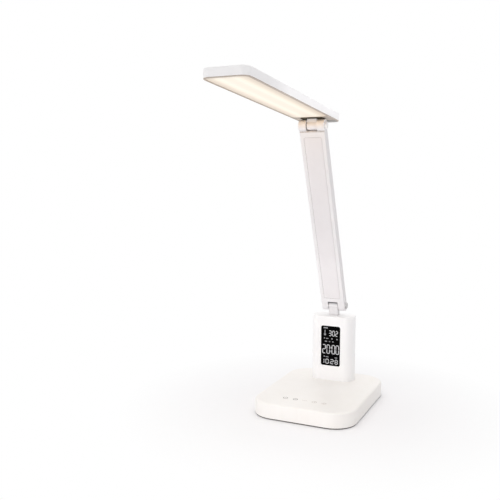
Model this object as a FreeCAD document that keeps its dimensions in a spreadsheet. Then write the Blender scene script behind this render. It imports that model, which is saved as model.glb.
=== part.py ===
# LED table lamp: weighted base with touch keys, clock column, folding arm and swivelling flat head.
# Lengths are millimetres and angles degrees. +X is the lamp's right, +Y its back and +Z up, with the
# origin in the middle of the foot pad's lower face.
import FreeCAD, Part
import math
import operator
import os
from types import SimpleNamespace

import Sketcher
from FreeCAD import Placement, Rotation, Vector

DRIVING_SIZES = {
    # Base
    "base_width": 130.0,
    "base_depth": 170.0,
    "base_corner": 29.5,
    "base_shell_height": 18.0,
    "base_wall": 2.4,
    "base_edge_round": 2.6,
    "pad_thick": 1.5,
    "pad_inset": 1.0,
    "bottom_thick": 2.4,
    "bottom_clear": 0.2,
    "base_screw_inset": 16.0,
    "base_screw_length": 9.0,
    "weight_width": 84.0,
    "weight_thick": 6.0,
    "weight_front_gap": 21.0,
    "weight_board_gap": 14.1,
    "weight_corner": 8.0,
    # Touch keys under the base's top
    "touch_board_width": 72.0,
    "touch_board_depth": 14.0,
    "touch_front_gap": 30.0,
    "touch_pitch": 12.8,
    "touch_pad_radius": 4.5,
    "touch_pad_thick": 0.3,
    # Power board and its inlet
    "board_thick": 1.6,
    "main_board_width": 64.0,
    "main_board_depth": 34.0,
    "main_board_edge_gap": 2.5,
    "main_post_height": 2.0,
    "main_post_radius": 3.0,
    "main_screw_inset": 5.0,
    "inlet_width": 9.0,
    "inlet_body_depth": 11.0,
    "inlet_height": 8.4,
    "inlet_nose_radius": 4.0,
    "inlet_nose_clear": 0.2,
    "inlet_bore_radius": 3.15,
    "inlet_bore_depth": 9.5,
    "inlet_pin_radius": 1.0,
    "inlet_pin_gap": 1.2,
    # Clock column
    "column_width": 58.0,
    "column_depth": 29.5,
    "column_corner": 12.5,
    "column_height": 87.5,
    "column_back_gap": 17.25,
    "column_wall": 2.2,
    "column_roof": 2.5,
    "column_edge_round": 1.6,
    "column_screw_offset": 21.0,
    "column_screw_length": 11.0,
    "wire_hole_radius": 6.0,
    "window_width": 26.8,
    "window_height": 54.4,
    "window_rise": 20.0,
    "window_corner": 2.6,
    "window_ledge": 1.2,
    "lens_thick": 1.4,
    "lens_clear": 0.1,
    "lcd_margin": 2.4,
    "lcd_thick": 2.8,
    "backlight_inset": 1.0,
    "backlight_thick": 3.0,
    # Back cover, clock board and its push buttons
    "cover_width": 30.0,
    "cover_height": 70.0,
    "cover_rise": 8.0,
    "cover_corner": 3.0,
    "cover_thick": 1.2,
    "cover_clear": 0.15,
    "cover_side_ledge": 2.0,
    "cover_end_ledge": 7.0,
    "cover_boss_depth": 4.0,
    "clock_board_width": 24.0,
    "clock_board_height": 52.0,
    "clock_post_length": 10.0,
    "clock_post_offset": 8.5,
    "clock_post_end_gap": 4.0,
    "clock_screw_length": 5.0,
    "switch_side": 6.0,
    "switch_thick": 3.5,
    "switch_plunger_radius": 1.7,
    "switch_plunger_height": 1.0,
    "button_pitch": 13.0,
    "button_radius": 3.0,
    "button_clear": 0.2,
    "button_proud": 1.0,
    "button_flange_radius": 4.0,
    "button_flange_thick": 1.0,
    "button_stem_radius": 1.6,
    "button_travel": 0.7,
    "button_gap": 0.1,
    "cell_radius": 10.0,
    "cell_thick": 3.2,
    "cell_holder_side": 22.0,
    "cell_holder_thick": 1.0,
    # Hinges at both ends of the arm
    "hinge_rise": 13.7,
    "knuckle_width": 12.0,
    "knuckle_radius": 5.2,
    "neck_depth": 8.4,
    "neck_clear": 0.2,
    "upper_notch_gap": 0.3,
    "stop_pad_gap": 0.9,
    "stop_pad_thick": 1.2,
    "washer_thick": 0.7,
    "washer_gap": 0.05,
    "washer_radius": 4.9,
    "bolt_radius": 2.0,
    "bolt_clear": 0.06,
    "bolt_head_radius": 4.4,
    "bolt_head_thick": 2.0,
    "bolt_head_round": 1.3,
    "nut_radius": 4.0,
    "nut_thick": 3.0,
    "nut_clear": 0.3,
    "plug_thick": 1.0,
    "flange_width": 44.0,
    "flange_depth": 12.0,
    "flange_thick": 2.5,
    "flange_drop": 8.0,
    "flange_screw_offset": 17.0,
    "flange_screw_length": 6.0,
    # Arm
    "arm_lean": 21.7,
    "arm_length": 251.0,
    "ear_drop": 2.2,
    "arm_width": 32.0,
    "arm_thick": 11.3,
    "arm_wall": 2.0,
    "arm_edge_round": 1.2,
    "barrel_radius": 7.1,
    "barrel_proud": 0.4,
    "barrel_edge_round": 1.0,
    "groove_drop": 5.4,
    "groove_width": 2.0,
    "groove_depth": 0.6,
    "arm_panel_width": 22.6,
    "arm_panel_end_gap": 13.0,
    "arm_panel_thick": 0.9,
    "arm_panel_corner": 2.0,
    "arm_panel_clear": 0.2,
    "arm_cover_thick": 1.4,
    "arm_cover_end_gap": 14.0,
    "arm_cover_ledge": 1.6,
    "arm_cover_clear": 0.15,
    "arm_cover_corner": 2.0,
    "arm_screw_inset": 9.0,
    "arm_screw_length": 5.5,
    "spine_width": 12.0,
    "spine_thick": 2.0,
    "spine_end_gap": 8.0,
    "arm_lead_radius": 1.3,
    "arm_lead_offset": 9.5,
    "arm_lead_gap": 0.1,
    # Swivel between the upper hinge and the head
    "plate_width": 27.0,
    "plate_depth": 15.0,
    "plate_thick": 0.7,
    "plate_corner": 1.2,
    "hub_radius": 8.2,
    "hub_thick": 2.2,
    "hub_clear": 0.5,
    "post_radius": 5.0,
    "post_clear": 0.08,
    "post_bore_radius": 2.2,
    "ring_radius": 7.8,
    "ring_thick": 0.2,
    "ring_gap": 0.05,
    "bracket_width": 42.0,
    "bracket_depth": 30.2,
    "bracket_front": 8.9,
    "bracket_thick": 2.2,
    "bracket_corner": 3.0,
    "bracket_screw_inset": 4.5,
    "swivel_nut_radius": 8.5,
    "swivel_nut_thick": 2.0,
    # Head
    "head_tilt": 4.5,
    "head_reach": 232.0,
    "head_tail": 32.5,
    "head_width": 48.4,
    "head_thick": 10.2,
    "head_offset": 8.2,
    "head_corner": 8.5,
    "head_wall": 1.6,
    "head_roof": 1.6,
    "head_edge_round": 2.0,
    "rim_height": 1.0,
    "rim_inset": 0.4,
    "rim_round": 0.6,
    "bezel_recess": 0.4,
    "bezel_thick": 1.6,
    "bezel_clear": 0.15,
    "bezel_border": 1.2,
    "bezel_screw_inset": 5.0,
    "bezel_screw_sink": 0.2,
    "bezel_boss_wall": 1.2,
    "bezel_boss_floor": 1.5,
    "tail_plate_front": 17.2,
    "diffuser_rear_gap": 10.6,
    "diffuser_clear": 0.1,
    "diffuser_lip": 1.0,
    "diffuser_lip_thick": 1.2,
    "led_board_thick": 1.2,
    "leds_per_row": 20.0,
    "led_row_offset": 9.5,
    "led_end_gap": 8.0,
    "led_width": 2.8,
    "led_length": 3.5,
    "led_thick": 0.8,
    # Thread-forming screws
    "boss_wall": 2.0,
    "screw_radius": 1.2,
    "screw_clear": 0.05,
    "screw_pass_clear": 0.3,
    "screw_head_radius": 2.4,
    "screw_head_thick": 1.3,
    "screw_head_clear": 0.2,
    "screw_slot_reach": 1.44,
    "screw_slot_width": 0.7,
    "screw_slot_depth": 0.7,
    "tip_gap": 1.0,
}

doc = FreeCAD.newDocument("table_lamp")
sheet = doc.addObject("Spreadsheet::Sheet", "Sizes")

OPERATIONS = {"+": operator.add, "-": operator.sub, "*": operator.mul, "/": operator.truediv}
NORMAL_SIGN = {"XY": 1, "XZ": -1, "YZ": 1}  # side of each origin plane that its sketches face


class Size:
    """A number that keeps the sheet formula it comes from."""

    def __init__(self, formula, value):
        self.formula = formula
        self.value = value

    def __add__(self, other):
        return combine(self, "+", other)

    def __radd__(self, other):
        return combine(other, "+", self)

    def __sub__(self, other):
        return combine(self, "-", other)

    def __rsub__(self, other):
        return combine(other, "-", self)

    def __mul__(self, other):
        return combine(self, "*", other)

    def __rmul__(self, other):
        return combine(other, "*", self)

    def __truediv__(self, other):
        return combine(self, "/", other)

    def __neg__(self):
        return combine(0, "-", self)


def as_size(number):
    return number if isinstance(number, Size) else Size(f"({float(number)})", float(number))


def combine(left, sign, right):
    left, right = as_size(left), as_size(right)
    return Size(f"({left.formula} {sign} {right.formula})", OPERATIONS[sign](left.value, right.value))


def sine(angle):
    return Size(f"sin({angle.formula} * 1 deg)", math.sin(math.radians(angle.value)))


def cosine(angle):
    return Size(f"cos({angle.formula} * 1 deg)", math.cos(math.radians(angle.value)))


def fill_sheet():
    sizes = SimpleNamespace()
    for row, (alias, value) in enumerate(DRIVING_SIZES.items(), start=1):
        sheet.set(f"A{row}", alias)
        sheet.set(f"B{row}", str(value))
        sheet.setAlias(f"B{row}", alias)
        setattr(sizes, alias, Size(f"Sizes.{alias}", value))
    doc.recompute()
    return sizes


def bind(target, prop, size):
    target.setExpression(prop, as_size(size).formula)


# Sketch outlines: each function returns one that draws and constrains itself in a sketch
def constrain(sketch, size, kind, *places):
    size = as_size(size)
    index = sketch.addConstraint(Sketcher.Constraint(kind, *places, size.value))
    sketch.renameConstraint(index, f"size{index}")
    bind(sketch, f"Constraints.size{index}", size)


def circle(radius, x=0, y=0):
    radius, x, y = as_size(radius), as_size(x), as_size(y)

    def draw(sketch):
        centre = Vector(x.value, y.value, 0)
        index = sketch.addGeometry(Part.Circle(centre, Vector(0, 0, 1), radius.value))
        constrain(sketch, radius, "Radius", index)
        constrain(sketch, x, "DistanceX", -1, 1, index, 3)
        constrain(sketch, y, "DistanceY", -1, 1, index, 3)

    return draw


def rectangle(width, height, x=0, y=0, corner=None):
    width, height, x, y = as_size(width), as_size(height), as_size(x), as_size(y)
    left, right = x - width / 2, x + width / 2
    bottom, top = y - height / 2, y + height / 2

    def draw_sides(sketch, radius):
        inner_x = (left.value + radius, right.value - radius)
        inner_y = (bottom.value + radius, top.value - radius)
        ends = [
            (inner_x[0], bottom.value, inner_x[1], bottom.value),
            (right.value, inner_y[0], right.value, inner_y[1]),
            (inner_x[1], top.value, inner_x[0], top.value),
            (left.value, inner_y[1], left.value, inner_y[0]),
        ]
        lines = [Part.LineSegment(Vector(a, b, 0), Vector(c, d, 0)) for a, b, c, d in ends]
        sides = list(sketch.addGeometry(lines))
        for number, side in enumerate(sides):
            sketch.addConstraint(Sketcher.Constraint(("Horizontal", "Vertical")[number % 2], side))
        constrain(sketch, right, "DistanceX", -1, 1, sides[1], 1)
        constrain(sketch, left, "DistanceX", -1, 1, sides[3], 1)
        constrain(sketch, top, "DistanceY", -1, 1, sides[2], 1)
        constrain(sketch, bottom, "DistanceY", -1, 1, sides[0], 1)
        return sides, inner_x, inner_y

    def draw_sharp(sketch):
        sides = draw_sides(sketch, 0.0)[0]
        for number, side in enumerate(sides):
            after = sides[(number + 1) % 4]
            sketch.addConstraint(Sketcher.Constraint("Coincident", side, 2, after, 1))

    def draw_rounded(sketch):
        sides, inner_x, inner_y = draw_sides(sketch, corner.value)
        centres = [(inner_x[1], inner_y[0]), (inner_x[1], inner_y[1]),
                   (inner_x[0], inner_y[1]), (inner_x[0], inner_y[0])]
        arcs = []
        for number, (cx, cy) in enumerate(centres):
            ring = Part.Circle(Vector(cx, cy, 0), Vector(0, 0, 1), corner.value)
            start = (number - 1) * math.pi / 2
            arcs.append(sketch.addGeometry(Part.ArcOfCircle(ring, start, start + math.pi / 2)))
        for number, arc in enumerate(arcs):
            after = sides[(number + 1) % 4]
            sketch.addConstraint(Sketcher.Constraint("Tangent", sides[number], 2, arc, 1))
            sketch.addConstraint(Sketcher.Constraint("Tangent", arc, 2, after, 1))
        for arc in arcs[1:]:
            sketch.addConstraint(Sketcher.Constraint("Equal", arcs[0], arc))
        constrain(sketch, corner, "Radius", arcs[0])

    return draw_rounded if corner is not None else draw_sharp


def half_bar(length, radius, edge):
    """Half of a bar's long section, on its axis, with rounded ends to be turned about the X axis."""
    end = length / 2

    def draw(sketch):
        flank = radius.value - edge.value
        inner = end.value - edge.value
        corners = [(-end.value, 0), (end.value, 0), (end.value, flank), (inner, radius.value),
                   (-inner, radius.value), (-end.value, flank)]
        points = [Vector(x, y, 0) for x, y in corners]
        lines = [Part.LineSegment(points[0], points[1]), Part.LineSegment(points[1], points[2]),
                 Part.LineSegment(points[3], points[4]), Part.LineSegment(points[5], points[0])]
        axis, right, top, left = sketch.addGeometry(lines)
        turns = [Part.Circle(Vector(x, flank, 0), Vector(0, 0, 1), edge.value) for x in (inner, -inner)]
        first, second = sketch.addGeometry([Part.ArcOfCircle(turns[0], 0, math.pi / 2),
                                            Part.ArcOfCircle(turns[1], math.pi / 2, math.pi)])
        for kind, line in (("Horizontal", axis), ("Vertical", right), ("Horizontal", top), ("Vertical", left)):
            sketch.addConstraint(Sketcher.Constraint(kind, line))
        for kind, before, after in (("Coincident", axis, right), ("Tangent", right, first),
                                    ("Tangent", first, top), ("Tangent", top, second),
                                    ("Tangent", second, left), ("Coincident", left, axis)):
            sketch.addConstraint(Sketcher.Constraint(kind, before, 2, after, 1))
        sketch.addConstraint(Sketcher.Constraint("Equal", first, second))
        constrain(sketch, edge, "Radius", first)
        constrain(sketch, -end, "DistanceX", -1, 1, axis, 1)
        constrain(sketch, end, "DistanceX", -1, 1, axis, 2)
        constrain(sketch, 0, "DistanceY", -1, 1, axis, 1)
        constrain(sketch, radius, "DistanceY", -1, 1, top, 1)

    return draw


# Solid features: low and high are places along the axis that stands on the sketch's plane
def new_body(label, seat=None):
    body = doc.addObject("PartDesign::Body", label)
    body.Label = label
    return seat(body) if seat else body


def new_sketch(body, plane, offset, outlines):
    sketch = body.newObject("Sketcher::SketchObject", f"{body.Name}_outline")
    support = next(item for item in body.Origin.OriginFeatures if item.Role == f"{plane}_Plane")
    sketch.AttachmentSupport = [(support, "")]
    sketch.MapMode = "FlatFace"
    bind(sketch, "AttachmentOffset.Base.z", offset)
    for draw in outlines:
        draw(sketch)
    return sketch


def add(body, plane, low, high, *outlines):
    sign = NORMAL_SIGN[plane]
    sketch = new_sketch(body, plane, low if sign > 0 else -as_size(high), outlines)
    pad = body.newObject("PartDesign::Pad", f"{body.Name}_pad")
    pad.Profile = sketch
    bind(pad, "Length", high - low)


def cut(body, plane, low, high, *outlines):
    sign = NORMAL_SIGN[plane]
    sketch = new_sketch(body, plane, high if sign > 0 else -as_size(low), outlines)
    pocket = body.newObject("PartDesign::Pocket", f"{body.Name}_pocket")
    pocket.Profile = sketch
    bind(pocket, "Length", high - low)


def turn(body, height, outline):
    """Turns an outline about the line along X at the given height."""
    sketch = new_sketch(body, "XY", height, [outline])
    turned = body.newObject("PartDesign::Revolution", f"{body.Name}_turned")
    turned.Profile = sketch
    turned.ReferenceAxis = (sketch, ["H_Axis"])
    turned.Angle = 360


def round_edges(body, radius, chosen):
    doc.recompute()
    base = body.Tip
    names = [f"Edge{number}" for number, edge in enumerate(base.Shape.Edges, start=1) if chosen(edge)]
    fillet = body.newObject("PartDesign::Fillet", f"{body.Name}_round")
    fillet.Base = (base, names)
    bind(fillet, "Radius", radius)


def edge_at(axis, *levels):
    """Chooses the edges that lie wholly in a plane across the axis at one of the levels."""
    def chosen(edge):
        box = edge.BoundBox
        low, high = getattr(box, f"{axis}Min"), getattr(box, f"{axis}Max")
        return any(max(abs(low - as_size(v).value), abs(high - as_size(v).value)) < 1e-3 for v in levels)

    return chosen


# Turned and boxed pieces, placed by their own expressions
def put(shape, x, y, z):
    for axis, value in zip("xyz", (x, y, z)):
        bind(shape, f"Placement.Base.{axis}", value)
    return shape


def rod(radius, low, high, axis, *across):
    """A round bar along an axis; across holds its two other coordinates in X, Y, Z order."""
    bar = doc.addObject("Part::Cylinder", "rod")
    facing = {"X": Rotation(Vector(0, 1, 0), 90), "Y": Rotation(Vector(1, 0, 0), -90), "Z": Rotation()}
    bar.Placement = Placement(Vector(), facing[axis])
    bind(bar, "Radius", radius)
    bind(bar, "Height", high - low)
    place = list(across)
    place.insert("XYZ".index(axis), low)
    return put(bar, *place)


def block(low, high):
    """A box between two opposite corners."""
    box = doc.addObject("Part::Box", "block")
    for prop, start, end in zip(("Length", "Width", "Height"), low, high):
        bind(box, prop, end - start)
    return put(box, *low)


def join(*members):
    fuse = doc.addObject("Part::MultiFuse", "join")
    fuse.Shapes = list(members)
    return fuse


def subtract(base, tool):
    rest = doc.addObject("Part::Cut", "rest")
    rest.Base = base
    rest.Tool = tool
    return rest


def named(label, shape, seat=None):
    shape.Label = label
    return seat(shape) if seat else shape


def group(label, members, seat=None):
    compound = doc.addObject("Part::Compound", label)
    compound.Links = list(members)
    return named(label, compound, seat)


def screw(seat, tip, axis, *across):
    """A pan-head screw with a cross slot: seat is the plane under its head and tip its far end."""
    seat, tip = as_size(seat), as_size(tip)
    points_up = tip.value > seat.value
    head_top = seat - s.screw_head_thick if points_up else seat + s.screw_head_thick
    slot_floor = head_top + s.screw_slot_depth if points_up else head_top - s.screw_slot_depth
    ends = (seat, tip) if points_up else (tip, seat)
    head_ends = (head_top, seat) if points_up else (seat, head_top)
    slot_ends = (head_top, slot_floor) if points_up else (slot_floor, head_top)
    whole = join(rod(s.screw_radius, *ends, axis, *across),
                 rod(s.screw_head_radius, *head_ends, axis, *across))
    slots = []
    for long_side in (0, 1):
        half = [s.screw_slot_width / 2, s.screw_slot_width / 2]
        half[long_side] = s.screw_slot_reach
        low = [as_size(c) - h for c, h in zip(across, half)]
        high = [as_size(c) + h for c, h in zip(across, half)]
        low.insert("XYZ".index(axis), slot_ends[0])
        high.insert("XYZ".index(axis), slot_ends[1])
        slots.append(block(low, high))
    return subtract(whole, join(*slots))


def hex_nut(low, high, across_corners, hole):
    """A hexagon nut along X on the axis y = z = 0 of its own frame, before it is placed."""
    prism = doc.addObject("Part::Prism", "nut_blank")
    prism.Polygon = 6
    bind(prism, "Circumradius", across_corners)
    bind(prism, "Height", high - low)
    prism.Placement = Placement(Vector(), Rotation(Vector(0, 1, 0), 90))
    return subtract(put(prism, low, 0, 0), rod(hole, low, high, "X", 0, 0))


s = fill_sheet()

# Heights and planes that several pieces share
plate_top = s.pad_thick + s.bottom_thick
base_top = s.pad_thick + s.base_shell_height
base_ceiling = base_top - s.base_wall
base_back = s.base_depth / 2
column_top = base_top + s.column_height
column_ceiling = column_top - s.column_roof
column_back = base_back - s.column_back_gap
column_middle = column_back - s.column_depth / 2
column_front = column_back - s.column_depth
column_inner_back = column_back - s.column_wall
hinge_height = column_top + s.hinge_rise
pilot_radius = s.screw_radius + s.screw_clear
pass_radius = s.screw_radius + s.screw_pass_clear
boss_radius = pilot_radius + s.boss_wall
head_seat_radius = s.screw_head_radius + s.screw_head_clear
bolt_bore = s.bolt_radius + s.bolt_clear
ear_inner = s.knuckle_width / 2 + s.washer_thick + 2 * s.washer_gap
nut_pocket = s.nut_thick + s.plug_thick + s.washer_gap
SIDES = (-1, 1)


def on_arm(obj):
    """Seats a piece drawn about the lower hinge axis, with the arm along its own +Z."""
    obj.Placement = Placement(Vector(), Rotation(Vector(1, 0, 0), s.arm_lean.value))
    bind(obj, "Placement.Rotation.Angle", s.arm_lean)
    return put(obj, 0, column_middle, hinge_height)


def on_arm_top(obj):
    """Seats a piece drawn about the upper hinge axis that turns with the arm."""
    obj.Placement = Placement(Vector(), Rotation(Vector(1, 0, 0), s.arm_lean.value))
    bind(obj, "Placement.Rotation.Angle", s.arm_lean)
    return put(obj, 0, upper_hinge_y, upper_hinge_z)


def on_head(obj):
    """Seats a piece drawn about the upper hinge axis, with the head level and its front along -Y."""
    obj.Placement = Placement(Vector(), Rotation(Vector(-1, 0, 0), s.head_tilt.value))
    bind(obj, "Placement.Rotation.Angle", s.head_tilt)
    return put(obj, 0, upper_hinge_y, upper_hinge_z)


upper_hinge_y = column_middle - s.arm_length * sine(s.arm_lean)
upper_hinge_z = hinge_height + s.arm_length * cosine(s.arm_lean)

# Base
base_screw_x = s.base_width / 2 - s.base_screw_inset
base_screw_y = s.base_depth / 2 - s.base_screw_inset
base_screw_seat = s.pad_thick + s.screw_head_thick
base_screw_places = [(i * base_screw_x, j * base_screw_y) for i in SIDES for j in SIDES]
main_board_y = base_back - s.base_wall - s.main_board_edge_gap - s.main_board_depth / 2
main_board_low = plate_top + s.main_post_height
main_board_top = main_board_low + s.board_thick
main_screw_x = s.main_board_width / 2 - s.main_screw_inset
main_screw_y = main_board_y - s.main_board_depth / 2 + s.main_screw_inset
main_screw_places = [(i * main_screw_x, main_screw_y) for i in SIDES]
inlet_axis_z = main_board_top + s.inlet_height / 2
inlet_body_back = base_back - s.base_wall - s.inlet_nose_clear
column_screw_places = [(i * s.column_screw_offset, column_middle) for i in SIDES]


def make_foot_pad():
    pad = new_body("foot_pad")
    width = s.base_width - 2 * s.pad_inset
    depth = s.base_depth - 2 * s.pad_inset
    add(pad, "XY", as_size(0), s.pad_thick, rectangle(width, depth, corner=s.base_corner - s.pad_inset))


def make_base_bottom():
    plate = new_body("base_bottom")
    inset = s.base_wall + s.bottom_clear
    outline = rectangle(s.base_width - 2 * inset, s.base_depth - 2 * inset, corner=s.base_corner - inset)
    add(plate, "XY", s.pad_thick, plate_top, outline)
    add(plate, "XY", s.pad_thick, main_board_low,
        *[circle(s.main_post_radius, *place) for place in main_screw_places])
    cut(plate, "XY", s.pad_thick, plate_top, *[circle(pass_radius, *place) for place in base_screw_places])
    cut(plate, "XY", s.pad_thick, base_screw_seat,
        *[circle(head_seat_radius, *place) for place in base_screw_places])
    cut(plate, "XY", s.pad_thick + s.tip_gap, main_board_low,
        *[circle(pilot_radius, *place) for place in main_screw_places])


def make_base_weight():
    weight = new_body("base_weight")
    front = s.weight_front_gap - base_back
    back = main_board_y - s.main_board_depth / 2 - s.weight_board_gap
    outline = rectangle(s.weight_width, back - front, 0, (front + back) / 2, corner=s.weight_corner)
    add(weight, "XY", plate_top, plate_top + s.weight_thick, outline)


def make_base_shell():
    shell = new_body("base_shell")
    add(shell, "XY", s.pad_thick, base_top, rectangle(s.base_width, s.base_depth, corner=s.base_corner))
    round_edges(shell, s.base_edge_round, edge_at("Z", base_top))
    hollow = rectangle(s.base_width - 2 * s.base_wall, s.base_depth - 2 * s.base_wall,
                       corner=s.base_corner - s.base_wall)
    cut(shell, "XY", s.pad_thick, base_ceiling, hollow)
    add(shell, "XY", plate_top, base_ceiling + s.base_wall / 2,
        *[circle(boss_radius, *place) for place in base_screw_places])
    cut(shell, "XY", plate_top, base_screw_seat + s.base_screw_length + s.tip_gap,
        *[circle(pilot_radius, *place) for place in base_screw_places])
    cut(shell, "XY", base_ceiling, base_top,
        circle(s.wire_hole_radius, 0, column_middle),
        *[circle(pass_radius, *place) for place in column_screw_places])
    cut(shell, "XZ", base_back - 2 * s.base_wall, base_back,
        circle(s.inlet_nose_radius + s.inlet_nose_clear, 0, inlet_axis_z))


def make_base_fasteners():
    tip = base_screw_seat + s.base_screw_length
    group("base_screws", [screw(base_screw_seat, tip, "Z", *place) for place in base_screw_places])
    board_tip = s.pad_thick + s.tip_gap + s.screw_clear
    group("main_board_screws", [screw(main_board_top, board_tip, "Z", *place) for place in main_screw_places])
    column_tip = base_ceiling + s.column_screw_length
    group("column_screws", [screw(base_ceiling, column_tip, "Z", *place) for place in column_screw_places])


def make_touch_keys():
    board_top = base_ceiling - s.touch_pad_thick
    row = s.touch_front_gap - base_back
    board = new_body("touch_board")
    add(board, "XY", board_top - s.board_thick, board_top,
        rectangle(s.touch_board_width, s.touch_board_depth, 0, row))
    places = [(number * s.touch_pitch, row) for number in range(-2, 3)]
    group("touch_pads", [rod(s.touch_pad_radius, board_top, base_ceiling, "Z", *place) for place in places])


def make_power_inlet():
    board = new_body("main_board")
    add(board, "XY", main_board_low, main_board_top,
        rectangle(s.main_board_width, s.main_board_depth, 0, main_board_y))
    cut(board, "XY", main_board_low, main_board_top,
        *[circle(pass_radius, *place) for place in main_screw_places])
    inlet = new_body("power_inlet")
    add(inlet, "XZ", inlet_body_back - s.inlet_body_depth, inlet_body_back,
        rectangle(s.inlet_width, s.inlet_height, 0, inlet_axis_z))
    add(inlet, "XZ", inlet_body_back, base_back, circle(s.inlet_nose_radius, 0, inlet_axis_z))
    cut(inlet, "XZ", base_back - s.inlet_bore_depth, base_back, circle(s.inlet_bore_radius, 0, inlet_axis_z))
    contact = rod(s.inlet_pin_radius, base_back - s.inlet_bore_depth, base_back - s.inlet_pin_gap,
                  "Y", 0, inlet_axis_z)
    named("inlet_contact", contact)


# Clock column
window_z = base_top + s.window_rise + s.window_height / 2
cover_z = base_top + s.cover_rise + s.cover_height / 2
cover_inner = column_back - s.cover_thick
cover_screw_reach = s.cover_height / 2 - s.cover_end_ledge / 2
cover_screw_places = [(0, cover_z + j * cover_screw_reach) for j in SIDES]
clock_board_back = cover_inner - s.clock_post_length
clock_board_front = clock_board_back - s.board_thick
clock_post_z = s.clock_board_height / 2 - s.clock_post_end_gap
clock_post_places = [(i * s.clock_post_offset, cover_z + j * clock_post_z) for i in SIDES for j in SIDES]
button_heights = [cover_z + number * s.button_pitch for number in (1, 0, -1)]
flange_top = column_ceiling - s.flange_drop
flange_low = flange_top - s.flange_thick
flange_screw_places = [(i * s.flange_screw_offset, column_middle) for i in SIDES]


def make_column_shell():
    shell = new_body("column_shell")
    add(shell, "XY", base_top, column_top,
        rectangle(s.column_width, s.column_depth, 0, column_middle, corner=s.column_corner))
    round_edges(shell, s.column_edge_round, edge_at("Z", column_top))
    cut(shell, "XY", base_top, column_ceiling,
        rectangle(s.column_width - 2 * s.column_wall, s.column_depth - 2 * s.column_wall,
                  0, column_middle, corner=s.column_corner - s.column_wall))
    foot_boss_top = base_ceiling + s.column_screw_length + s.tip_gap
    rib_width = s.column_width / 2 - s.column_screw_offset - s.column_wall / 2
    for place, side in zip(column_screw_places, SIDES):
        rib_x = side * (s.column_screw_offset + rib_width / 2)
        add(shell, "XY", base_top, foot_boss_top, circle(boss_radius, *place))
        add(shell, "XY", base_top, foot_boss_top, rectangle(rib_width, s.boss_wall, rib_x, column_middle))
    cut(shell, "XY", base_top, foot_boss_top, *[circle(pilot_radius, *place) for place in column_screw_places])
    add(shell, "XY", flange_top, column_ceiling + s.column_roof / 2,
        *[circle(boss_radius, *place) for place in flange_screw_places])
    cut(shell, "XY", flange_top, flange_top + s.flange_screw_length - s.flange_thick + s.tip_gap,
        *[circle(pilot_radius, *place) for place in flange_screw_places])
    neck_hole = rectangle(s.knuckle_width + 2 * s.neck_clear, s.neck_depth + 2 * s.neck_clear,
                          0, column_middle)
    cut(shell, "XY", column_ceiling, column_top, neck_hole)
    cut(shell, "XZ", column_front, column_front + s.lens_thick,
        rectangle(s.window_width, s.window_height, 0, window_z, corner=s.window_corner))
    cut(shell, "XZ", column_front, column_front + s.column_wall,
        rectangle(s.window_width - 2 * s.window_ledge, s.window_height - 2 * s.window_ledge, 0, window_z))
    for x, z in cover_screw_places:
        add(shell, "XZ", column_inner_back - s.cover_boss_depth, cover_inner, circle(boss_radius, x, z))
    cut(shell, "XZ", cover_inner, column_back,
        rectangle(s.cover_width, s.cover_height, 0, cover_z, corner=s.cover_corner))
    cut(shell, "XZ", column_inner_back, column_back,
        rectangle(s.cover_width - 2 * s.cover_side_ledge, s.cover_height - 2 * s.cover_end_ledge, 0, cover_z))
    cut(shell, "XZ", column_inner_back - s.cover_boss_depth, column_back,
        *[circle(pilot_radius, *place) for place in cover_screw_places])


def make_display():
    lens = new_body("display_lens")
    add(lens, "XZ", column_front, column_front + s.lens_thick,
        rectangle(s.window_width - 2 * s.lens_clear, s.window_height - 2 * s.lens_clear,
                  0, window_z, corner=s.window_corner - s.lens_clear))
    lcd_front = column_front + s.column_wall
    lcd_back = lcd_front + s.lcd_thick
    lcd_width = s.window_width + 2 * s.lcd_margin
    lcd_height = s.window_height + 2 * s.lcd_margin
    lcd = new_body("lcd_panel")
    add(lcd, "XZ", lcd_front, lcd_back, rectangle(lcd_width, lcd_height, 0, window_z))
    light = new_body("lcd_backlight")
    add(light, "XZ", lcd_back, lcd_back + s.backlight_thick,
        rectangle(lcd_width - 2 * s.backlight_inset, lcd_height - 2 * s.backlight_inset, 0, window_z))


def make_back_cover():
    cover = new_body("column_back_cover")
    add(cover, "XZ", cover_inner, column_back,
        rectangle(s.cover_width - 2 * s.cover_clear, s.cover_height - 2 * s.cover_clear,
                  0, cover_z, corner=s.cover_corner - s.cover_clear))
    add(cover, "XZ", clock_board_back, cover_inner + s.cover_thick / 2,
        *[circle(boss_radius, *place) for place in clock_post_places])
    cut(cover, "XZ", clock_board_back, clock_board_back + s.clock_screw_length - s.board_thick + s.tip_gap,
        *[circle(pilot_radius, *place) for place in clock_post_places])
    cut(cover, "XZ", cover_inner, column_back,
        *[circle(pass_radius, *place) for place in cover_screw_places],
        *[circle(s.button_radius + s.button_clear, 0, z) for z in button_heights])
    cover_tip = column_inner_back - s.cover_boss_depth + s.tip_gap
    group("back_cover_screws", [screw(column_back, cover_tip, "Y", *place) for place in cover_screw_places])


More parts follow.
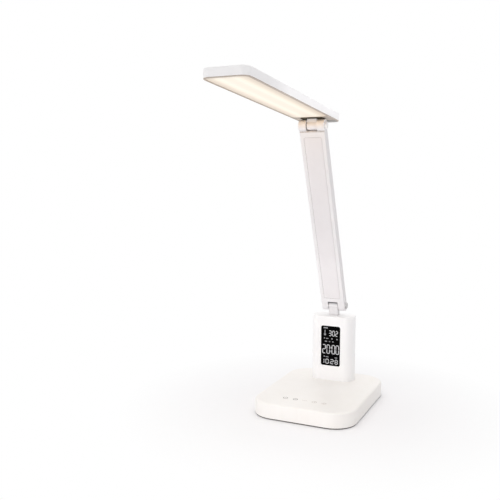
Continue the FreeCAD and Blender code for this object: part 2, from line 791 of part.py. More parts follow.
def make_clock_board():
    board = new_body("clock_board")
    add(board, "XZ", clock_board_front, clock_board_back,
        rectangle(s.clock_board_width, s.clock_board_height, 0, cover_z))
    cut(board, "XZ", clock_board_front, clock_board_back,
        *[circle(pass_radius, *place) for place in clock_post_places])
    tip = clock_board_front + s.clock_screw_length
    group("clock_board_screws", [screw(clock_board_front, tip, "Y", *place) for place in clock_post_places])
    switch_back = clock_board_back + s.switch_thick
    half = s.switch_side / 2
    switches = []
    for z in button_heights:
        housing = block((-half, clock_board_back, z - half), (half, switch_back, z + half))
        plunger = rod(s.switch_plunger_radius, switch_back - half, switch_back + s.switch_plunger_height,
                      "Y", 0, z)
        switches.append(join(housing, plunger))
    group("tact_switches", switches)
    holder_front = clock_board_front - s.cell_holder_thick
    holder = new_body("cell_holder")
    add(holder, "XZ", holder_front, clock_board_front,
        rectangle(s.cell_holder_side, s.cell_holder_side, 0, cover_z))
    named("coin_cell", rod(s.cell_radius, holder_front - s.cell_thick, holder_front, "Y", 0, cover_z))


def make_buttons():
    plunger_tip = clock_board_back + s.switch_thick + s.switch_plunger_height
    stem_end = plunger_tip + s.button_travel + s.button_gap
    flange_back = cover_inner - s.button_gap
    flange_front = flange_back - s.button_flange_thick
    for label, z in zip(("button_mode", "button_up", "button_down"), button_heights):
        button = new_body(label)
        face = column_back + s.button_proud
        add(button, "XZ", flange_front, flange_back, circle(s.button_flange_radius, 0, z))
        add(button, "XZ", stem_end, flange_back, circle(s.button_stem_radius, 0, z))
        add(button, "XZ", flange_front, face, circle(s.button_radius, 0, z))
        round_edges(button, s.button_proud / 2, edge_at("Y", face))


# Lower hinge: a knuckle standing on the column between the two ears of the arm
def make_column_knuckle():
    knuckle = new_body("column_knuckle")
    add(knuckle, "XY", flange_low, flange_top,
        rectangle(s.flange_width, s.flange_depth, 0, column_middle))
    add(knuckle, "XY", flange_low, hinge_height,
        rectangle(s.knuckle_width, s.neck_depth, 0, column_middle))
    half = s.knuckle_width / 2
    add(knuckle, "YZ", -half, half, circle(s.knuckle_radius, column_middle, hinge_height))
    cut(knuckle, "YZ", -half, half, circle(bolt_bore, column_middle, hinge_height))
    cut(knuckle, "XY", flange_low, flange_top, *[circle(pass_radius, *place) for place in flange_screw_places])
    tip = flange_low + s.flange_screw_length
    group("knuckle_screws", [screw(flange_low, tip, "Z", *place) for place in flange_screw_places])


def make_hinge_hardware(name, ear_outer, seat):
    """Bolt, nut, plug and friction washers of one hinge, drawn about its own axis."""
    bolt = new_body(f"{name}_hinge_bolt", seat)
    nut_outer = -(ear_outer - s.plug_thick - s.washer_gap)
    add(bolt, "YZ", nut_outer, ear_outer + s.bolt_head_thick, circle(s.bolt_radius))
    add(bolt, "YZ", ear_outer, ear_outer + s.bolt_head_thick, circle(s.bolt_head_radius))
    round_edges(bolt, s.bolt_head_round, edge_at("X", ear_outer + s.bolt_head_thick))
    nut = hex_nut(nut_outer, nut_outer + s.nut_thick, s.nut_radius, bolt_bore)
    named(f"{name}_hinge_nut", nut, seat)
    plug = rod(s.nut_radius + s.nut_clear / 2, -ear_outer, -ear_outer + s.plug_thick, "X", 0, 0)
    group(f"{name}_hinge_plug", [plug], seat)
    washers = []
    for side in SIDES:
        low = s.knuckle_width / 2 + s.washer_gap
        high = low + s.washer_thick
        ends = (low, high) if side > 0 else (-high, -low)
        washers.append(subtract(rod(s.washer_radius, *ends, "X", 0, 0), rod(bolt_bore, *ends, "X", 0, 0)))
    group(f"{name}_friction_washers", washers, seat)


# Arm, drawn upright about the lower hinge axis with its front towards -Y
arm_half = s.arm_width / 2
arm_front = -s.arm_thick / 2
arm_back = s.arm_thick / 2
arm_floor = arm_front + s.arm_wall
barrel_half = arm_half + s.barrel_proud
ear_end = s.ear_drop + s.arm_thick / 2
stop_pad_low = s.knuckle_radius + s.stop_pad_gap
lower_notch = stop_pad_low + s.stop_pad_thick
upper_notch = s.knuckle_radius + s.upper_notch_gap
panel_length = s.arm_length - 2 * s.arm_panel_end_gap
arm_middle = s.arm_length / 2
arm_cover_width = s.arm_width - 2 * s.arm_cover_ledge
arm_cover_length = s.arm_length - 2 * s.arm_cover_end_gap
arm_cover_seat = arm_back - s.arm_cover_thick
arm_hollow_length = arm_cover_length - 2 * s.arm_wall
arm_screw_reach = arm_hollow_length / 2 - s.arm_screw_inset
arm_screw_places = [(0, arm_middle + j * arm_screw_reach) for j in SIDES]


def make_arm_frame():
    frame = new_body("arm_frame", on_arm)
    add(frame, "XY", -s.ear_drop, s.arm_length,
        rectangle(s.arm_width, s.arm_thick, corner=s.arm_edge_round))
    turn(frame, -s.ear_drop, half_bar(s.arm_width, s.arm_thick / 2, s.arm_edge_round))
    turn(frame, s.arm_length, half_bar(2 * barrel_half, s.barrel_radius, s.barrel_edge_round))
    cut(frame, "XZ", -s.barrel_radius, s.barrel_radius,
        rectangle(2 * ear_inner, lower_notch + ear_end, 0, (lower_notch - ear_end) / 2),
        rectangle(2 * ear_inner, 2 * upper_notch + s.barrel_radius, 0, s.arm_length + s.barrel_radius / 2))
    cut(frame, "XZ", arm_cover_seat, arm_back,
        rectangle(arm_cover_width, arm_cover_length, 0, arm_middle, corner=s.arm_cover_corner))
    cut(frame, "XZ", arm_floor, arm_back,
        rectangle(s.arm_width - 2 * (s.arm_wall + s.arm_cover_ledge), arm_hollow_length, 0, arm_middle))
    add(frame, "XZ", arm_floor - s.arm_wall / 2, arm_cover_seat,
        *[circle(boss_radius, *place) for place in arm_screw_places])
    cut(frame, "XZ", arm_floor, arm_cover_seat, *[circle(pilot_radius, *place) for place in arm_screw_places])
    cut(frame, "XZ", arm_front, arm_front + s.arm_panel_thick,
        rectangle(s.arm_panel_width, panel_length, 0, arm_middle, corner=s.arm_panel_corner))
    cut(frame, "XZ", arm_front, arm_front + s.groove_depth,
        rectangle(2 * barrel_half, s.groove_width, 0, s.arm_length - s.groove_drop))
    cut(frame, "YZ", -barrel_half, barrel_half, circle(bolt_bore), circle(bolt_bore, 0, s.arm_length))
    nut_seat = s.nut_radius + s.nut_clear
    cut(frame, "YZ", -arm_half, -arm_half + nut_pocket, circle(nut_seat))
    cut(frame, "YZ", -barrel_half, -barrel_half + nut_pocket, circle(nut_seat, 0, s.arm_length))


def make_arm_covers():
    panel = new_body("arm_front_panel", on_arm)
    add(panel, "XZ", arm_front, arm_front + s.arm_panel_thick,
        rectangle(s.arm_panel_width - 2 * s.arm_panel_clear, panel_length - 2 * s.arm_panel_clear,
                  0, arm_middle, corner=s.arm_panel_corner - s.arm_panel_clear))
    cover = new_body("arm_back_cover", on_arm)
    add(cover, "XZ", arm_cover_seat, arm_back,
        rectangle(arm_cover_width - 2 * s.arm_cover_clear, arm_cover_length - 2 * s.arm_cover_clear,
                  0, arm_middle, corner=s.arm_cover_corner - s.arm_cover_clear))
    cut(cover, "XZ", arm_cover_seat, arm_back, *[circle(pass_radius, *place) for place in arm_screw_places])
    tip = arm_back - s.arm_screw_length
    group("arm_cover_screws", [screw(arm_back, tip, "Y", *place) for place in arm_screw_places], on_arm)


def make_arm_inside():
    stop_pad = new_body("arm_stop_pad", on_arm)
    add(stop_pad, "XZ", arm_front, arm_back,
        rectangle(2 * ear_inner, s.stop_pad_thick, 0, (stop_pad_low + lower_notch) / 2))
    spine = new_body("arm_spine", on_arm)
    spine_length = 2 * (arm_screw_reach - boss_radius - s.spine_end_gap)
    add(spine, "XZ", arm_floor, arm_floor + s.spine_thick,
        rectangle(s.spine_width, spine_length, 0, arm_middle))
    lead_y = arm_floor + s.arm_lead_radius + s.arm_lead_gap
    reach = arm_hollow_length / 2 - s.arm_lead_gap
    lead = rod(s.arm_lead_radius, arm_middle - reach, arm_middle + reach, "Z", s.arm_lead_offset, lead_y)
    group("arm_lead", [lead], on_arm)


# Head and its swivel, drawn level about the upper hinge axis with the front towards -Y
head_low = s.head_offset
head_top = head_low + s.head_thick
head_ceiling = head_top - s.head_roof
head_length = s.head_reach + s.head_tail
head_middle = (s.head_tail - s.head_reach) / 2
cover_low = head_low + s.rim_height
bezel_low = head_low + s.bezel_recess
bezel_top = bezel_low + s.bezel_thick
bezel_inset = s.head_wall + s.bezel_clear
lit_width = s.head_width - 2 * (bezel_inset + s.bezel_border)
lit_front = -(s.head_reach - bezel_inset - s.bezel_border)
lit_back = -s.diffuser_rear_gap
lit_length = lit_back - lit_front
lit_middle = (lit_back + lit_front) / 2
lit_corner = s.head_corner - bezel_inset - s.bezel_border
diffuser_top = bezel_top + s.diffuser_lip_thick
led_board_low = head_ceiling - s.led_board_thick
plate_low = head_low - s.plate_thick
hub_low = head_low
hub_top = hub_low + s.hub_thick
bracket_low = hub_top + s.ring_thick + 2 * s.ring_gap
bracket_top = bracket_low + s.bracket_thick
bracket_screw_seat = bracket_low + s.screw_head_thick
swivel_nut_low = bracket_top + s.ring_thick + 2 * s.ring_gap
swivel_nut_top = swivel_nut_low + s.swivel_nut_thick
bracket_middle = s.bracket_depth / 2 - s.bracket_front
bracket_screw_x = s.bracket_width / 2 - s.bracket_screw_inset
bracket_screw_y = s.bracket_depth / 2 - s.bracket_screw_inset
bracket_screw_places = [(i * bracket_screw_x, bracket_middle + j * bracket_screw_y)
                        for i in SIDES for j in SIDES]
bezel_screw_seat = bezel_low + s.screw_head_thick + s.bezel_screw_sink
bezel_boss_top = bezel_screw_seat + s.bezel_boss_floor
bezel_boss_radius = head_seat_radius + s.bezel_boss_wall
bezel_screw_x = lit_width / 2 - s.bezel_screw_inset
bezel_screw_y = s.head_tail - bezel_inset - s.bezel_screw_inset
bezel_screw_places = [(i * bezel_screw_x, bezel_screw_y) for i in SIDES]


def head_outline(inset):
    """The head's rounded outline, drawn in on all sides by an inset."""
    return rectangle(s.head_width - 2 * inset, head_length - 2 * inset,
                     0, head_middle, corner=s.head_corner - inset)


def make_head_cover():
    cover = new_body("head_cover", on_head)
    add(cover, "XY", cover_low, head_top, head_outline(0))
    round_edges(cover, s.head_edge_round, edge_at("Z", head_top))
    cut(cover, "XY", cover_low, head_ceiling, head_outline(s.head_wall))
    add(cover, "XY", bracket_top, head_ceiling + s.head_roof / 2,
        *[circle(boss_radius, *place) for place in bracket_screw_places])
    add(cover, "XY", bezel_boss_top, head_ceiling + s.head_roof / 2,
        *[circle(boss_radius, *place) for place in bezel_screw_places])
    cut(cover, "XY", bezel_boss_top, head_ceiling,
        *[circle(pilot_radius, *place) for place in bracket_screw_places + bezel_screw_places])


def make_head_bezel():
    bezel = new_body("head_bezel", on_head)
    add(bezel, "XY", head_low, cover_low, head_outline(s.rim_inset))
    round_edges(bezel, s.rim_round, edge_at("Z", head_low))
    add(bezel, "XY", bezel_low, bezel_top, head_outline(bezel_inset))
    cut(bezel, "XY", head_low, bezel_low, head_outline(bezel_inset))
    add(bezel, "XY", bezel_low, bezel_boss_top,
        *[circle(bezel_boss_radius, *place) for place in bezel_screw_places])
    cut(bezel, "XY", bezel_low, bezel_top,
        rectangle(lit_width, lit_length, 0, lit_middle, corner=lit_corner),
        circle(s.hub_radius + s.hub_clear))
    cut(bezel, "XY", bezel_low, bezel_screw_seat,
        *[circle(head_seat_radius, *place) for place in bezel_screw_places])
    cut(bezel, "XY", bezel_low, bezel_boss_top,
        *[circle(pass_radius, *place) for place in bezel_screw_places])
    tip = head_ceiling - s.tip_gap
    group("bezel_screws", [screw(bezel_screw_seat, tip, "Z", *place) for place in bezel_screw_places], on_head)
    tail_plate = new_body("tail_plate", on_head)
    add(tail_plate, "XY", head_low, bezel_low, head_outline(bezel_inset + s.bezel_clear))
    cut(tail_plate, "XY", head_low, bezel_low,
        rectangle(s.head_width, head_length, 0, s.tail_plate_front - head_length / 2))


def make_light():
    lip_width = lit_width + 2 * s.diffuser_lip
    lip_length = lit_length + 2 * s.diffuser_lip
    lip_corner = lit_corner + s.diffuser_lip
    diffuser = new_body("diffuser", on_head)
    add(diffuser, "XY", bezel_low, diffuser_top,
        rectangle(lit_width - 2 * s.diffuser_clear, lit_length - 2 * s.diffuser_clear,
                  0, lit_middle, corner=lit_corner - s.diffuser_clear))
    add(diffuser, "XY", bezel_top, diffuser_top,
        rectangle(lip_width, lip_length, 0, lit_middle, corner=lip_corner))
    reflector = new_body("reflector", on_head)
    add(reflector, "XY", diffuser_top, led_board_low,
        rectangle(lip_width, lip_length, 0, lit_middle, corner=lip_corner))
    cut(reflector, "XY", diffuser_top, led_board_low,
        rectangle(lit_width, lit_length, 0, lit_middle, corner=lit_corner))
    board = new_body("led_board", on_head)
    add(board, "XY", led_board_low, head_ceiling,
        rectangle(lip_width, lip_length, 0, lit_middle, corner=lip_corner))
    count = round(s.leds_per_row.value)
    pitch = (lit_length - 2 * s.led_end_gap) / (s.leds_per_row - 1)
    chips = []
    for side in SIDES:
        for number in range(count):
            x = side * s.led_row_offset
            y = lit_front + s.led_end_gap + number * pitch
            chips.append(block((x - s.led_width / 2, y - s.led_length / 2, led_board_low - s.led_thick),
                               (x + s.led_width / 2, y + s.led_length / 2, led_board_low)))
    group("leds", chips, on_head)


def make_swivel():
    hub = new_body("swivel_hub", on_head)
    half = s.knuckle_width / 2
    add(hub, "YZ", -half, half, circle(s.knuckle_radius))
    add(hub, "XY", as_size(0), plate_low, rectangle(s.knuckle_width, s.neck_depth))
    add(hub, "XY", plate_low, swivel_nut_top, circle(s.post_radius))
    cut(hub, "XY", plate_low, swivel_nut_top, circle(s.post_bore_radius))
    cut(hub, "YZ", -half, half, circle(bolt_bore))
    bracket = new_body("swivel_bracket", on_head)
    add(bracket, "XY", bracket_low, bracket_top,
        rectangle(s.bracket_width, s.bracket_depth, 0, bracket_middle, corner=s.bracket_corner))
    cut(bracket, "XY", bracket_low, bracket_top, circle(s.post_radius + s.post_clear),
        *[circle(pass_radius, *place) for place in bracket_screw_places])
    cut(bracket, "XY", bracket_low, bracket_screw_seat,
        *[circle(head_seat_radius, *place) for place in bracket_screw_places])
    tip = head_ceiling - s.tip_gap
    group("bracket_screws",
          [screw(bracket_screw_seat, tip, "Z", *place) for place in bracket_screw_places], on_head)
    plate = new_body("swivel_plate", on_head)
    add(plate, "XY", plate_low, hub_low, rectangle(s.plate_width, s.plate_depth, corner=s.plate_corner))
    cut(plate, "XY", plate_low, hub_low, circle(s.post_radius + s.post_clear))
    ring_low = hub_top + s.ring_gap
    washer_low = bracket_top + s.ring_gap
    for label, outer, low, high in (
            ("swivel_disc", s.hub_radius, hub_low, hub_top),
            ("swivel_friction_ring", s.ring_radius, ring_low, ring_low + s.ring_thick),
            ("swivel_spring_washer", s.swivel_nut_radius, washer_low, washer_low + s.ring_thick),
            ("swivel_nut", s.swivel_nut_radius, swivel_nut_low, swivel_nut_top)):
        ring = new_body(label, on_head)
        add(ring, "XY", low, high, circle(outer))
        cut(ring, "XY", low, high, circle(s.post_radius + s.post_clear))


def check_document():
    """Stops if any object failed, or if a pad added nothing or a pocket cut nothing."""
    for item in doc.Objects:
        if "Invalid" in item.State or "Error" in item.State:
            raise RuntimeError(f"{item.Label} failed: {item.State}")
        base = getattr(item, "BaseFeature", None)
        if base and item.isDerivedFrom("PartDesign::Pocket") and item.Shape.Volume > base.Shape.Volume - 1e-3:
            raise RuntimeError(f"{item.Label} cuts nothing")
        if base and item.isDerivedFrom("PartDesign::Pad") and item.Shape.Volume < base.Shape.Volume + 1e-3:
            raise RuntimeError(f"{item.Label} adds nothing")


def sub_parts():
    """The pieces: every solid object that no other solid object is made from."""
    solids = [item for item in doc.Objects if item.isDerivedFrom("Part::Feature")]
    pieces = []
    for item in solids:
        inside_body = item.getParentGeoFeatureGroup() is not None
        used = [user for user in item.InList if user.isDerivedFrom("Part::Feature")]
        if not inside_body and not used and not item.isDerivedFrom("Sketcher::SketchObject"):
            pieces.append(item)
    return pieces


def write_parts():
    os.makedirs("parts", exist_ok=True)
    for piece in sub_parts():
        if piece.Shape.isNull() or not piece.Shape.isValid() or not piece.Shape.Solids:
            raise RuntimeError(f"{piece.Label} has no valid solid")
        piece.Shape.exportStep(f"parts/{piece.Label}.step")


make_foot_pad()
make_base_bottom()
make_base_weight()
make_base_shell()
make_base_fasteners()
make_touch_keys()
make_power_inlet()
make_column_shell()
make_display()
make_back_cover()
make_clock_board()
make_buttons()
make_column_knuckle()
make_hinge_hardware("lower", arm_half, on_arm)
make_arm_frame()
make_arm_covers()
make_arm_inside()
make_hinge_hardware("upper", barrel_half, on_arm_top)
make_swivel()
make_head_cover()
make_head_bezel()
make_light()
doc.recompute()
check_document()
write_parts()
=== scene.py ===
import math

import bmesh
import bpy
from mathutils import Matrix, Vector


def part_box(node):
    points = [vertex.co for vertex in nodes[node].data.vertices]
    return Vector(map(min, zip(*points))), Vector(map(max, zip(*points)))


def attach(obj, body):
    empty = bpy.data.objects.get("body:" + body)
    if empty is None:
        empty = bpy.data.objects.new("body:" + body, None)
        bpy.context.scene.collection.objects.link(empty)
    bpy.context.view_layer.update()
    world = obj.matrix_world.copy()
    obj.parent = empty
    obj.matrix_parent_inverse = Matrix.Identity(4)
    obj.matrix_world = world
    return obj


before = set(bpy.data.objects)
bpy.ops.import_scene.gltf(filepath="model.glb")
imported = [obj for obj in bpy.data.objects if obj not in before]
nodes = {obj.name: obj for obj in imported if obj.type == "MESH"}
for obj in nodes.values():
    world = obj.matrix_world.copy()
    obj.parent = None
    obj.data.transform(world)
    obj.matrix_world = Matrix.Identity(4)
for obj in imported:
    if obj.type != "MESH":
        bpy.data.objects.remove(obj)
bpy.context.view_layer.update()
scene = bpy.context.scene
mm = 0.001
scene.view_settings.view_transform = "Standard"
print("frame loaded with", len(nodes), "nodes")


# camera at the photograph's angle; the aim point lies beside the middle of the base
cameraSet = {"azimuth": 25.277, "elevation": 6.235, "distance": 848.861 * mm,
             "aimSide": -91.984 * mm, "aimHeight": 200.483 * mm,
             "lens": 47.997, "sensor": 36.0, "clipStart": 0.01, "clipEnd": 50.0}


def placeCamera(put):
    turn = math.radians(put["azimuth"])
    rise = math.radians(put["elevation"])
    back = Vector((math.sin(turn) * math.cos(rise), -math.cos(turn) * math.cos(rise), math.sin(rise)))
    aside = Vector((math.cos(turn), math.sin(turn), 0)) * put["aimSide"]
    aim = aside + Vector((0, 0, put["aimHeight"]))
    data = bpy.data.cameras.new("photoCamera")
    data.lens = put["lens"]
    data.sensor_width = put["sensor"]
    data.clip_start = put["clipStart"]
    data.clip_end = put["clipEnd"]
    camera = bpy.data.objects.new("photoCamera", data)
    scene.collection.objects.link(camera)
    camera.location = aim + back * put["distance"]
    camera.rotation_mode = "QUATERNION"
    camera.rotation_quaternion = (-back).to_track_quat("-Z", "Y")
    scene.camera = camera


placeCamera(cameraSet)
print("camera placed")

white = (1, 1, 1, 1)
black = (0, 0, 0, 1)
noiseMiddle = 0.5  # a noise texture swings about this value


# small helpers for shader trees
def addNode(tree, kind, **settings):
    node = tree.nodes.new(kind)
    for key, value in settings.items():
        setattr(node, key, value)
    return node


def wire(tree, source, target):
    if hasattr(source, "is_linked"):
        tree.links.new(source, target)
    else:
        target.default_value = source


def mathStep(tree, operation, *values):
    node = addNode(tree, "ShaderNodeMath", operation=operation)
    for value, socket in zip(values, node.inputs):
        wire(tree, value, socket)
    return node.outputs[0]


def weighStep(tree, first, firstShare, second, secondShare):
    firstPart = mathStep(tree, "MULTIPLY", first, firstShare)
    secondPart = mathStep(tree, "MULTIPLY", second, secondShare)
    return mathStep(tree, "ADD", firstPart, secondPart)


def noiseStep(tree, vector, scale, detail=3.0, rough=0.55):
    node = addNode(tree, "ShaderNodeTexNoise")
    wire(tree, vector, node.inputs["Vector"])
    wire(tree, scale, node.inputs["Scale"])
    node.inputs["Detail"].default_value = detail
    node.inputs["Roughness"].default_value = rough
    return node.outputs["Fac"]


def remapStep(tree, value, fromLow, fromHigh, toLow, toHigh):
    node = addNode(tree, "ShaderNodeMapRange", clamp=True)
    for socket, number in zip(node.inputs[:5], (value, fromLow, fromHigh, toLow, toHigh)):
        wire(tree, number, socket)
    return node.outputs["Result"]


def blendStep(tree, factor, first, second):
    node = addNode(tree, "ShaderNodeMix", data_type="RGBA")
    wire(tree, factor, node.inputs["Factor"])
    wire(tree, first, node.inputs["A"])
    wire(tree, second, node.inputs["B"])
    return node.outputs["Result"]


def seenDirectly(tree):
    rays = addNode(tree, "ShaderNodeLightPath").outputs
    straight = mathStep(tree, "MAXIMUM", rays["Is Camera Ray"], rays["Is Glossy Ray"])
    return mathStep(tree, "MAXIMUM", straight, rays["Is Transmission Ray"])


def placeStep(tree, stretch=None):
    where = addNode(tree, "ShaderNodeTexCoord").outputs["Object"]
    if stretch is None:
        return where
    node = addNode(tree, "ShaderNodeMapping")
    node.inputs["Scale"].default_value = stretch
    wire(tree, where, node.inputs["Vector"])
    return node.outputs["Vector"]


def newGroup(name, inputs, outputs):
    tree = bpy.data.node_groups.new(name, "ShaderNodeTree")
    for label, kind, value in inputs:
        socket = tree.interface.new_socket(label, in_out="INPUT", socket_type="NodeSocket" + kind)
        socket.default_value = value
    for label, kind in outputs:
        tree.interface.new_socket(label, in_out="OUTPUT", socket_type="NodeSocket" + kind)
    return tree, addNode(tree, "NodeGroupInput").outputs, addNode(tree, "NodeGroupOutput").inputs


# moulded plastic: a broad colour drift, a fine spark-eroded skin and a few flow streaks
skinSet = {"streakStretch": (1, 1, 0.12), "streakScale": 190.0, "driftShare": 0.7, "streakShare": 0.3,
           "shadeFrom": 0.36, "shadeTo": 0.64, "roughDrift": 0.6, "roughGrain": 0.4}


def makeMouldedSkin(put):
    tree, given, made = newGroup(
        "mouldedSkin",
        [("Color", "Color", white), ("Shade", "Color", white), ("Drift Scale", "Float", 30.0),
         ("Grain Scale", "Float", 2200.0), ("Roughness", "Float", 0.42), ("Spread", "Float", 0.08)],
        [("Color", "Color"), ("Roughness", "Float"), ("Height", "Float")])
    where = placeStep(tree)
    drift = noiseStep(tree, where, given["Drift Scale"], detail=4.0)
    streak = noiseStep(tree, placeStep(tree, put["streakStretch"]), put["streakScale"], detail=2.0)
    grain = noiseStep(tree, where, given["Grain Scale"], detail=2.0, rough=0.7)
    tone = weighStep(tree, drift, put["driftShare"], streak, put["streakShare"])
    shaded = remapStep(tree, tone, put["shadeFrom"], put["shadeTo"], 0.0, 1.0)
    wire(tree, blendStep(tree, shaded, given["Color"], given["Shade"]), made["Color"])
    uneven = weighStep(tree, drift, put["roughDrift"], grain, put["roughGrain"])
    swing = mathStep(tree, "SUBTRACT", uneven, noiseMiddle)
    spread = mathStep(tree, "MULTIPLY", swing, given["Spread"])
    wire(tree, mathStep(tree, "ADD", given["Roughness"], spread), made["Roughness"])
    wire(tree, grain, made["Height"])
    return tree


# eased edges: a rounded normal at the edges, and a mask of where they are
edgeSet = {"samples": 6, "sharp": 0.75, "flat": 0.995}


def makeEasedEdge(put):
    tree, given, made = newGroup("easedEdge", [("Radius", "Float", 0.4 * mm)],
                                 [("Normal", "Vector"), ("Edge", "Float")])
    bevel = addNode(tree, "ShaderNodeBevel", samples=put["samples"])
    wire(tree, given["Radius"], bevel.inputs["Radius"])
    dot = addNode(tree, "ShaderNodeVectorMath", operation="DOT_PRODUCT")
    wire(tree, bevel.outputs["Normal"], dot.inputs[0])
    wire(tree, addNode(tree, "ShaderNodeNewGeometry").outputs["Normal"], dot.inputs[1])
    wire(tree, bevel.outputs["Normal"], made["Normal"])
    wire(tree, remapStep(tree, dot.outputs["Value"], put["sharp"], put["flat"], 1.0, 0.0), made["Edge"])
    return tree


# handling marks: short thin scratches in patches, and soft finger smears
handlingSet = {"smearFrom": 0.5, "smearTo": 0.72, "scratchStretch": (9, 1.0, 7), "scratchScale": 4.0,
               "scratchWidth": 0.012, "patchScale": 0.7, "patchFrom": 0.56, "patchTo": 0.7}


def makeHandling(put):
    tree, given, made = newGroup("handling", [("Amount", "Float", 0.5), ("Scale", "Float", 60.0)],
                                 [("Smear", "Float"), ("Scratch", "Float")])
    where = placeStep(tree)
    smear = noiseStep(tree, where, given["Scale"], detail=5.0, rough=0.6)
    smeared = remapStep(tree, smear, put["smearFrom"], put["smearTo"], 0.0, 1.0)
    wire(tree, mathStep(tree, "MULTIPLY", smeared, given["Amount"]), made["Smear"])
    lineScale = mathStep(tree, "MULTIPLY", given["Scale"], put["scratchScale"])
    lines = noiseStep(tree, placeStep(tree, put["scratchStretch"]), lineScale, detail=2.0)
    offLine = mathStep(tree, "ABSOLUTE", mathStep(tree, "SUBTRACT", lines, noiseMiddle))
    thin = remapStep(tree, offLine, 0.0, put["scratchWidth"], 1.0, 0.0)
    patchScale = mathStep(tree, "MULTIPLY", given["Scale"], put["patchScale"])
    patch = noiseStep(tree, where, patchScale, detail=2.0)
    here = remapStep(tree, patch, put["patchFrom"], put["patchTo"], 0.0, 1.0)
    scratched = mathStep(tree, "MULTIPLY", thin, here)
    wire(tree, mathStep(tree, "MULTIPLY", scratched, given["Amount"]), made["Scratch"])
    return tree


# creases: a mask of open inner corners, used to paint shade into them; closed gaps are left unshaded
creaseShadeSet = {"samples": 8, "corner": 0.50, "plain": 0.94, "closed": 0.15, "open": 0.40}


def makeCreaseShade(put):
    tree, given, made = newGroup("creaseShade", [("Reach", "Float", 3.0 * mm)], [("Crease", "Float")])
    near = addNode(tree, "ShaderNodeAmbientOcclusion", samples=put["samples"], only_local=True)
    wire(tree, given["Reach"], near.inputs["Distance"])
    corner = remapStep(tree, near.outputs["AO"], put["corner"], put["plain"], 1.0, 0.0)
    reached = remapStep(tree, near.outputs["AO"], put["closed"], put["open"], 0.0, 1.0)
    wire(tree, mathStep(tree, "MULTIPLY", corner, reached), made["Crease"])
    return tree


# turned or brushed metal: fine lines and a mottled tone
grainSet = {"lineStretch": (0.25, 1, 1.6), "lineSwing": 0.22, "mottleScale": 260.0,
            "darkFrom": 0.35, "darkTo": 0.7}


def makeMetalGrain(put):
    tree, given, made = newGroup(
        "metalGrain",
        [("Color", "Color", white), ("Dark", "Color", white), ("Line Scale", "Float", 900.0),
         ("Roughness", "Float", 0.3)],
        [("Color", "Color"), ("Roughness", "Float"), ("Height", "Float")])
    lines = noiseStep(tree, placeStep(tree, put["lineStretch"]), given["Line Scale"], rough=0.7)
    mottle = noiseStep(tree, placeStep(tree), put["mottleScale"])
    darkened = remapStep(tree, mottle, put["darkFrom"], put["darkTo"], 0.0, 1.0)
    wire(tree, blendStep(tree, darkened, given["Color"], given["Dark"]), made["Color"])
    swing = mathStep(tree, "MULTIPLY", mathStep(tree, "SUBTRACT", lines, noiseMiddle), put["lineSwing"])
    wire(tree, mathStep(tree, "ADD", given["Roughness"], swing), made["Roughness"])
    wire(tree, lines, made["Height"])
    return tree


mouldedSkin = makeMouldedSkin(skinSet)
easedEdge = makeEasedEdge(edgeSet)
handling = makeHandling(handlingSet)
creaseShade = makeCreaseShade(creaseShadeSet)
metalGrain = makeMetalGrain(grainSet)
print("shared surface effects made")


def useGroup(tree, group, **values):
    node = addNode(tree, "ShaderNodeGroup", node_tree=group)
    for label, value in values.items():
        node.inputs[label.replace("_", " ")].default_value = value
    return node.outputs


def startMaterial(name, **sockets):
    material = bpy.data.materials.new(name)
    material.use_nodes = True
    tree = material.node_tree
    shader = tree.nodes["Principled BSDF"]
    for label, value in sockets.items():
        shader.inputs[label.replace("_", " ")].default_value = value
    return material, tree, shader


def addBump(tree, shader, height, strength, depth, normal=None):
    bump = addNode(tree, "ShaderNodeBump")
    bump.inputs["Strength"].default_value = strength
    bump.inputs["Distance"].default_value = depth
    wire(tree, height, bump.inputs["Height"])
    if normal is not None:
        wire(tree, normal, bump.inputs["Normal"])
    wire(tree, bump.outputs["Normal"], shader.inputs["Normal"])


# what the moulded plastics share; a finish states its own value where it differs
plasticSet = {"ior": 1.49, "gloss": 0.4, "coat": 0.0, "coatRough": 0.18, "drift": 30.0, "grain": 2200.0,
              "spread": 0.1, "edge": 0.35 * mm, "edgeSheenShare": 0.25, "marks": 0.25, "markScale": 55.0,
              "smearPolish": 0.08, "scratchDull": 0.12, "creaseShadeShare": 0.8, "bump": 0.12,
              "skinDepth": 0.03 * mm}


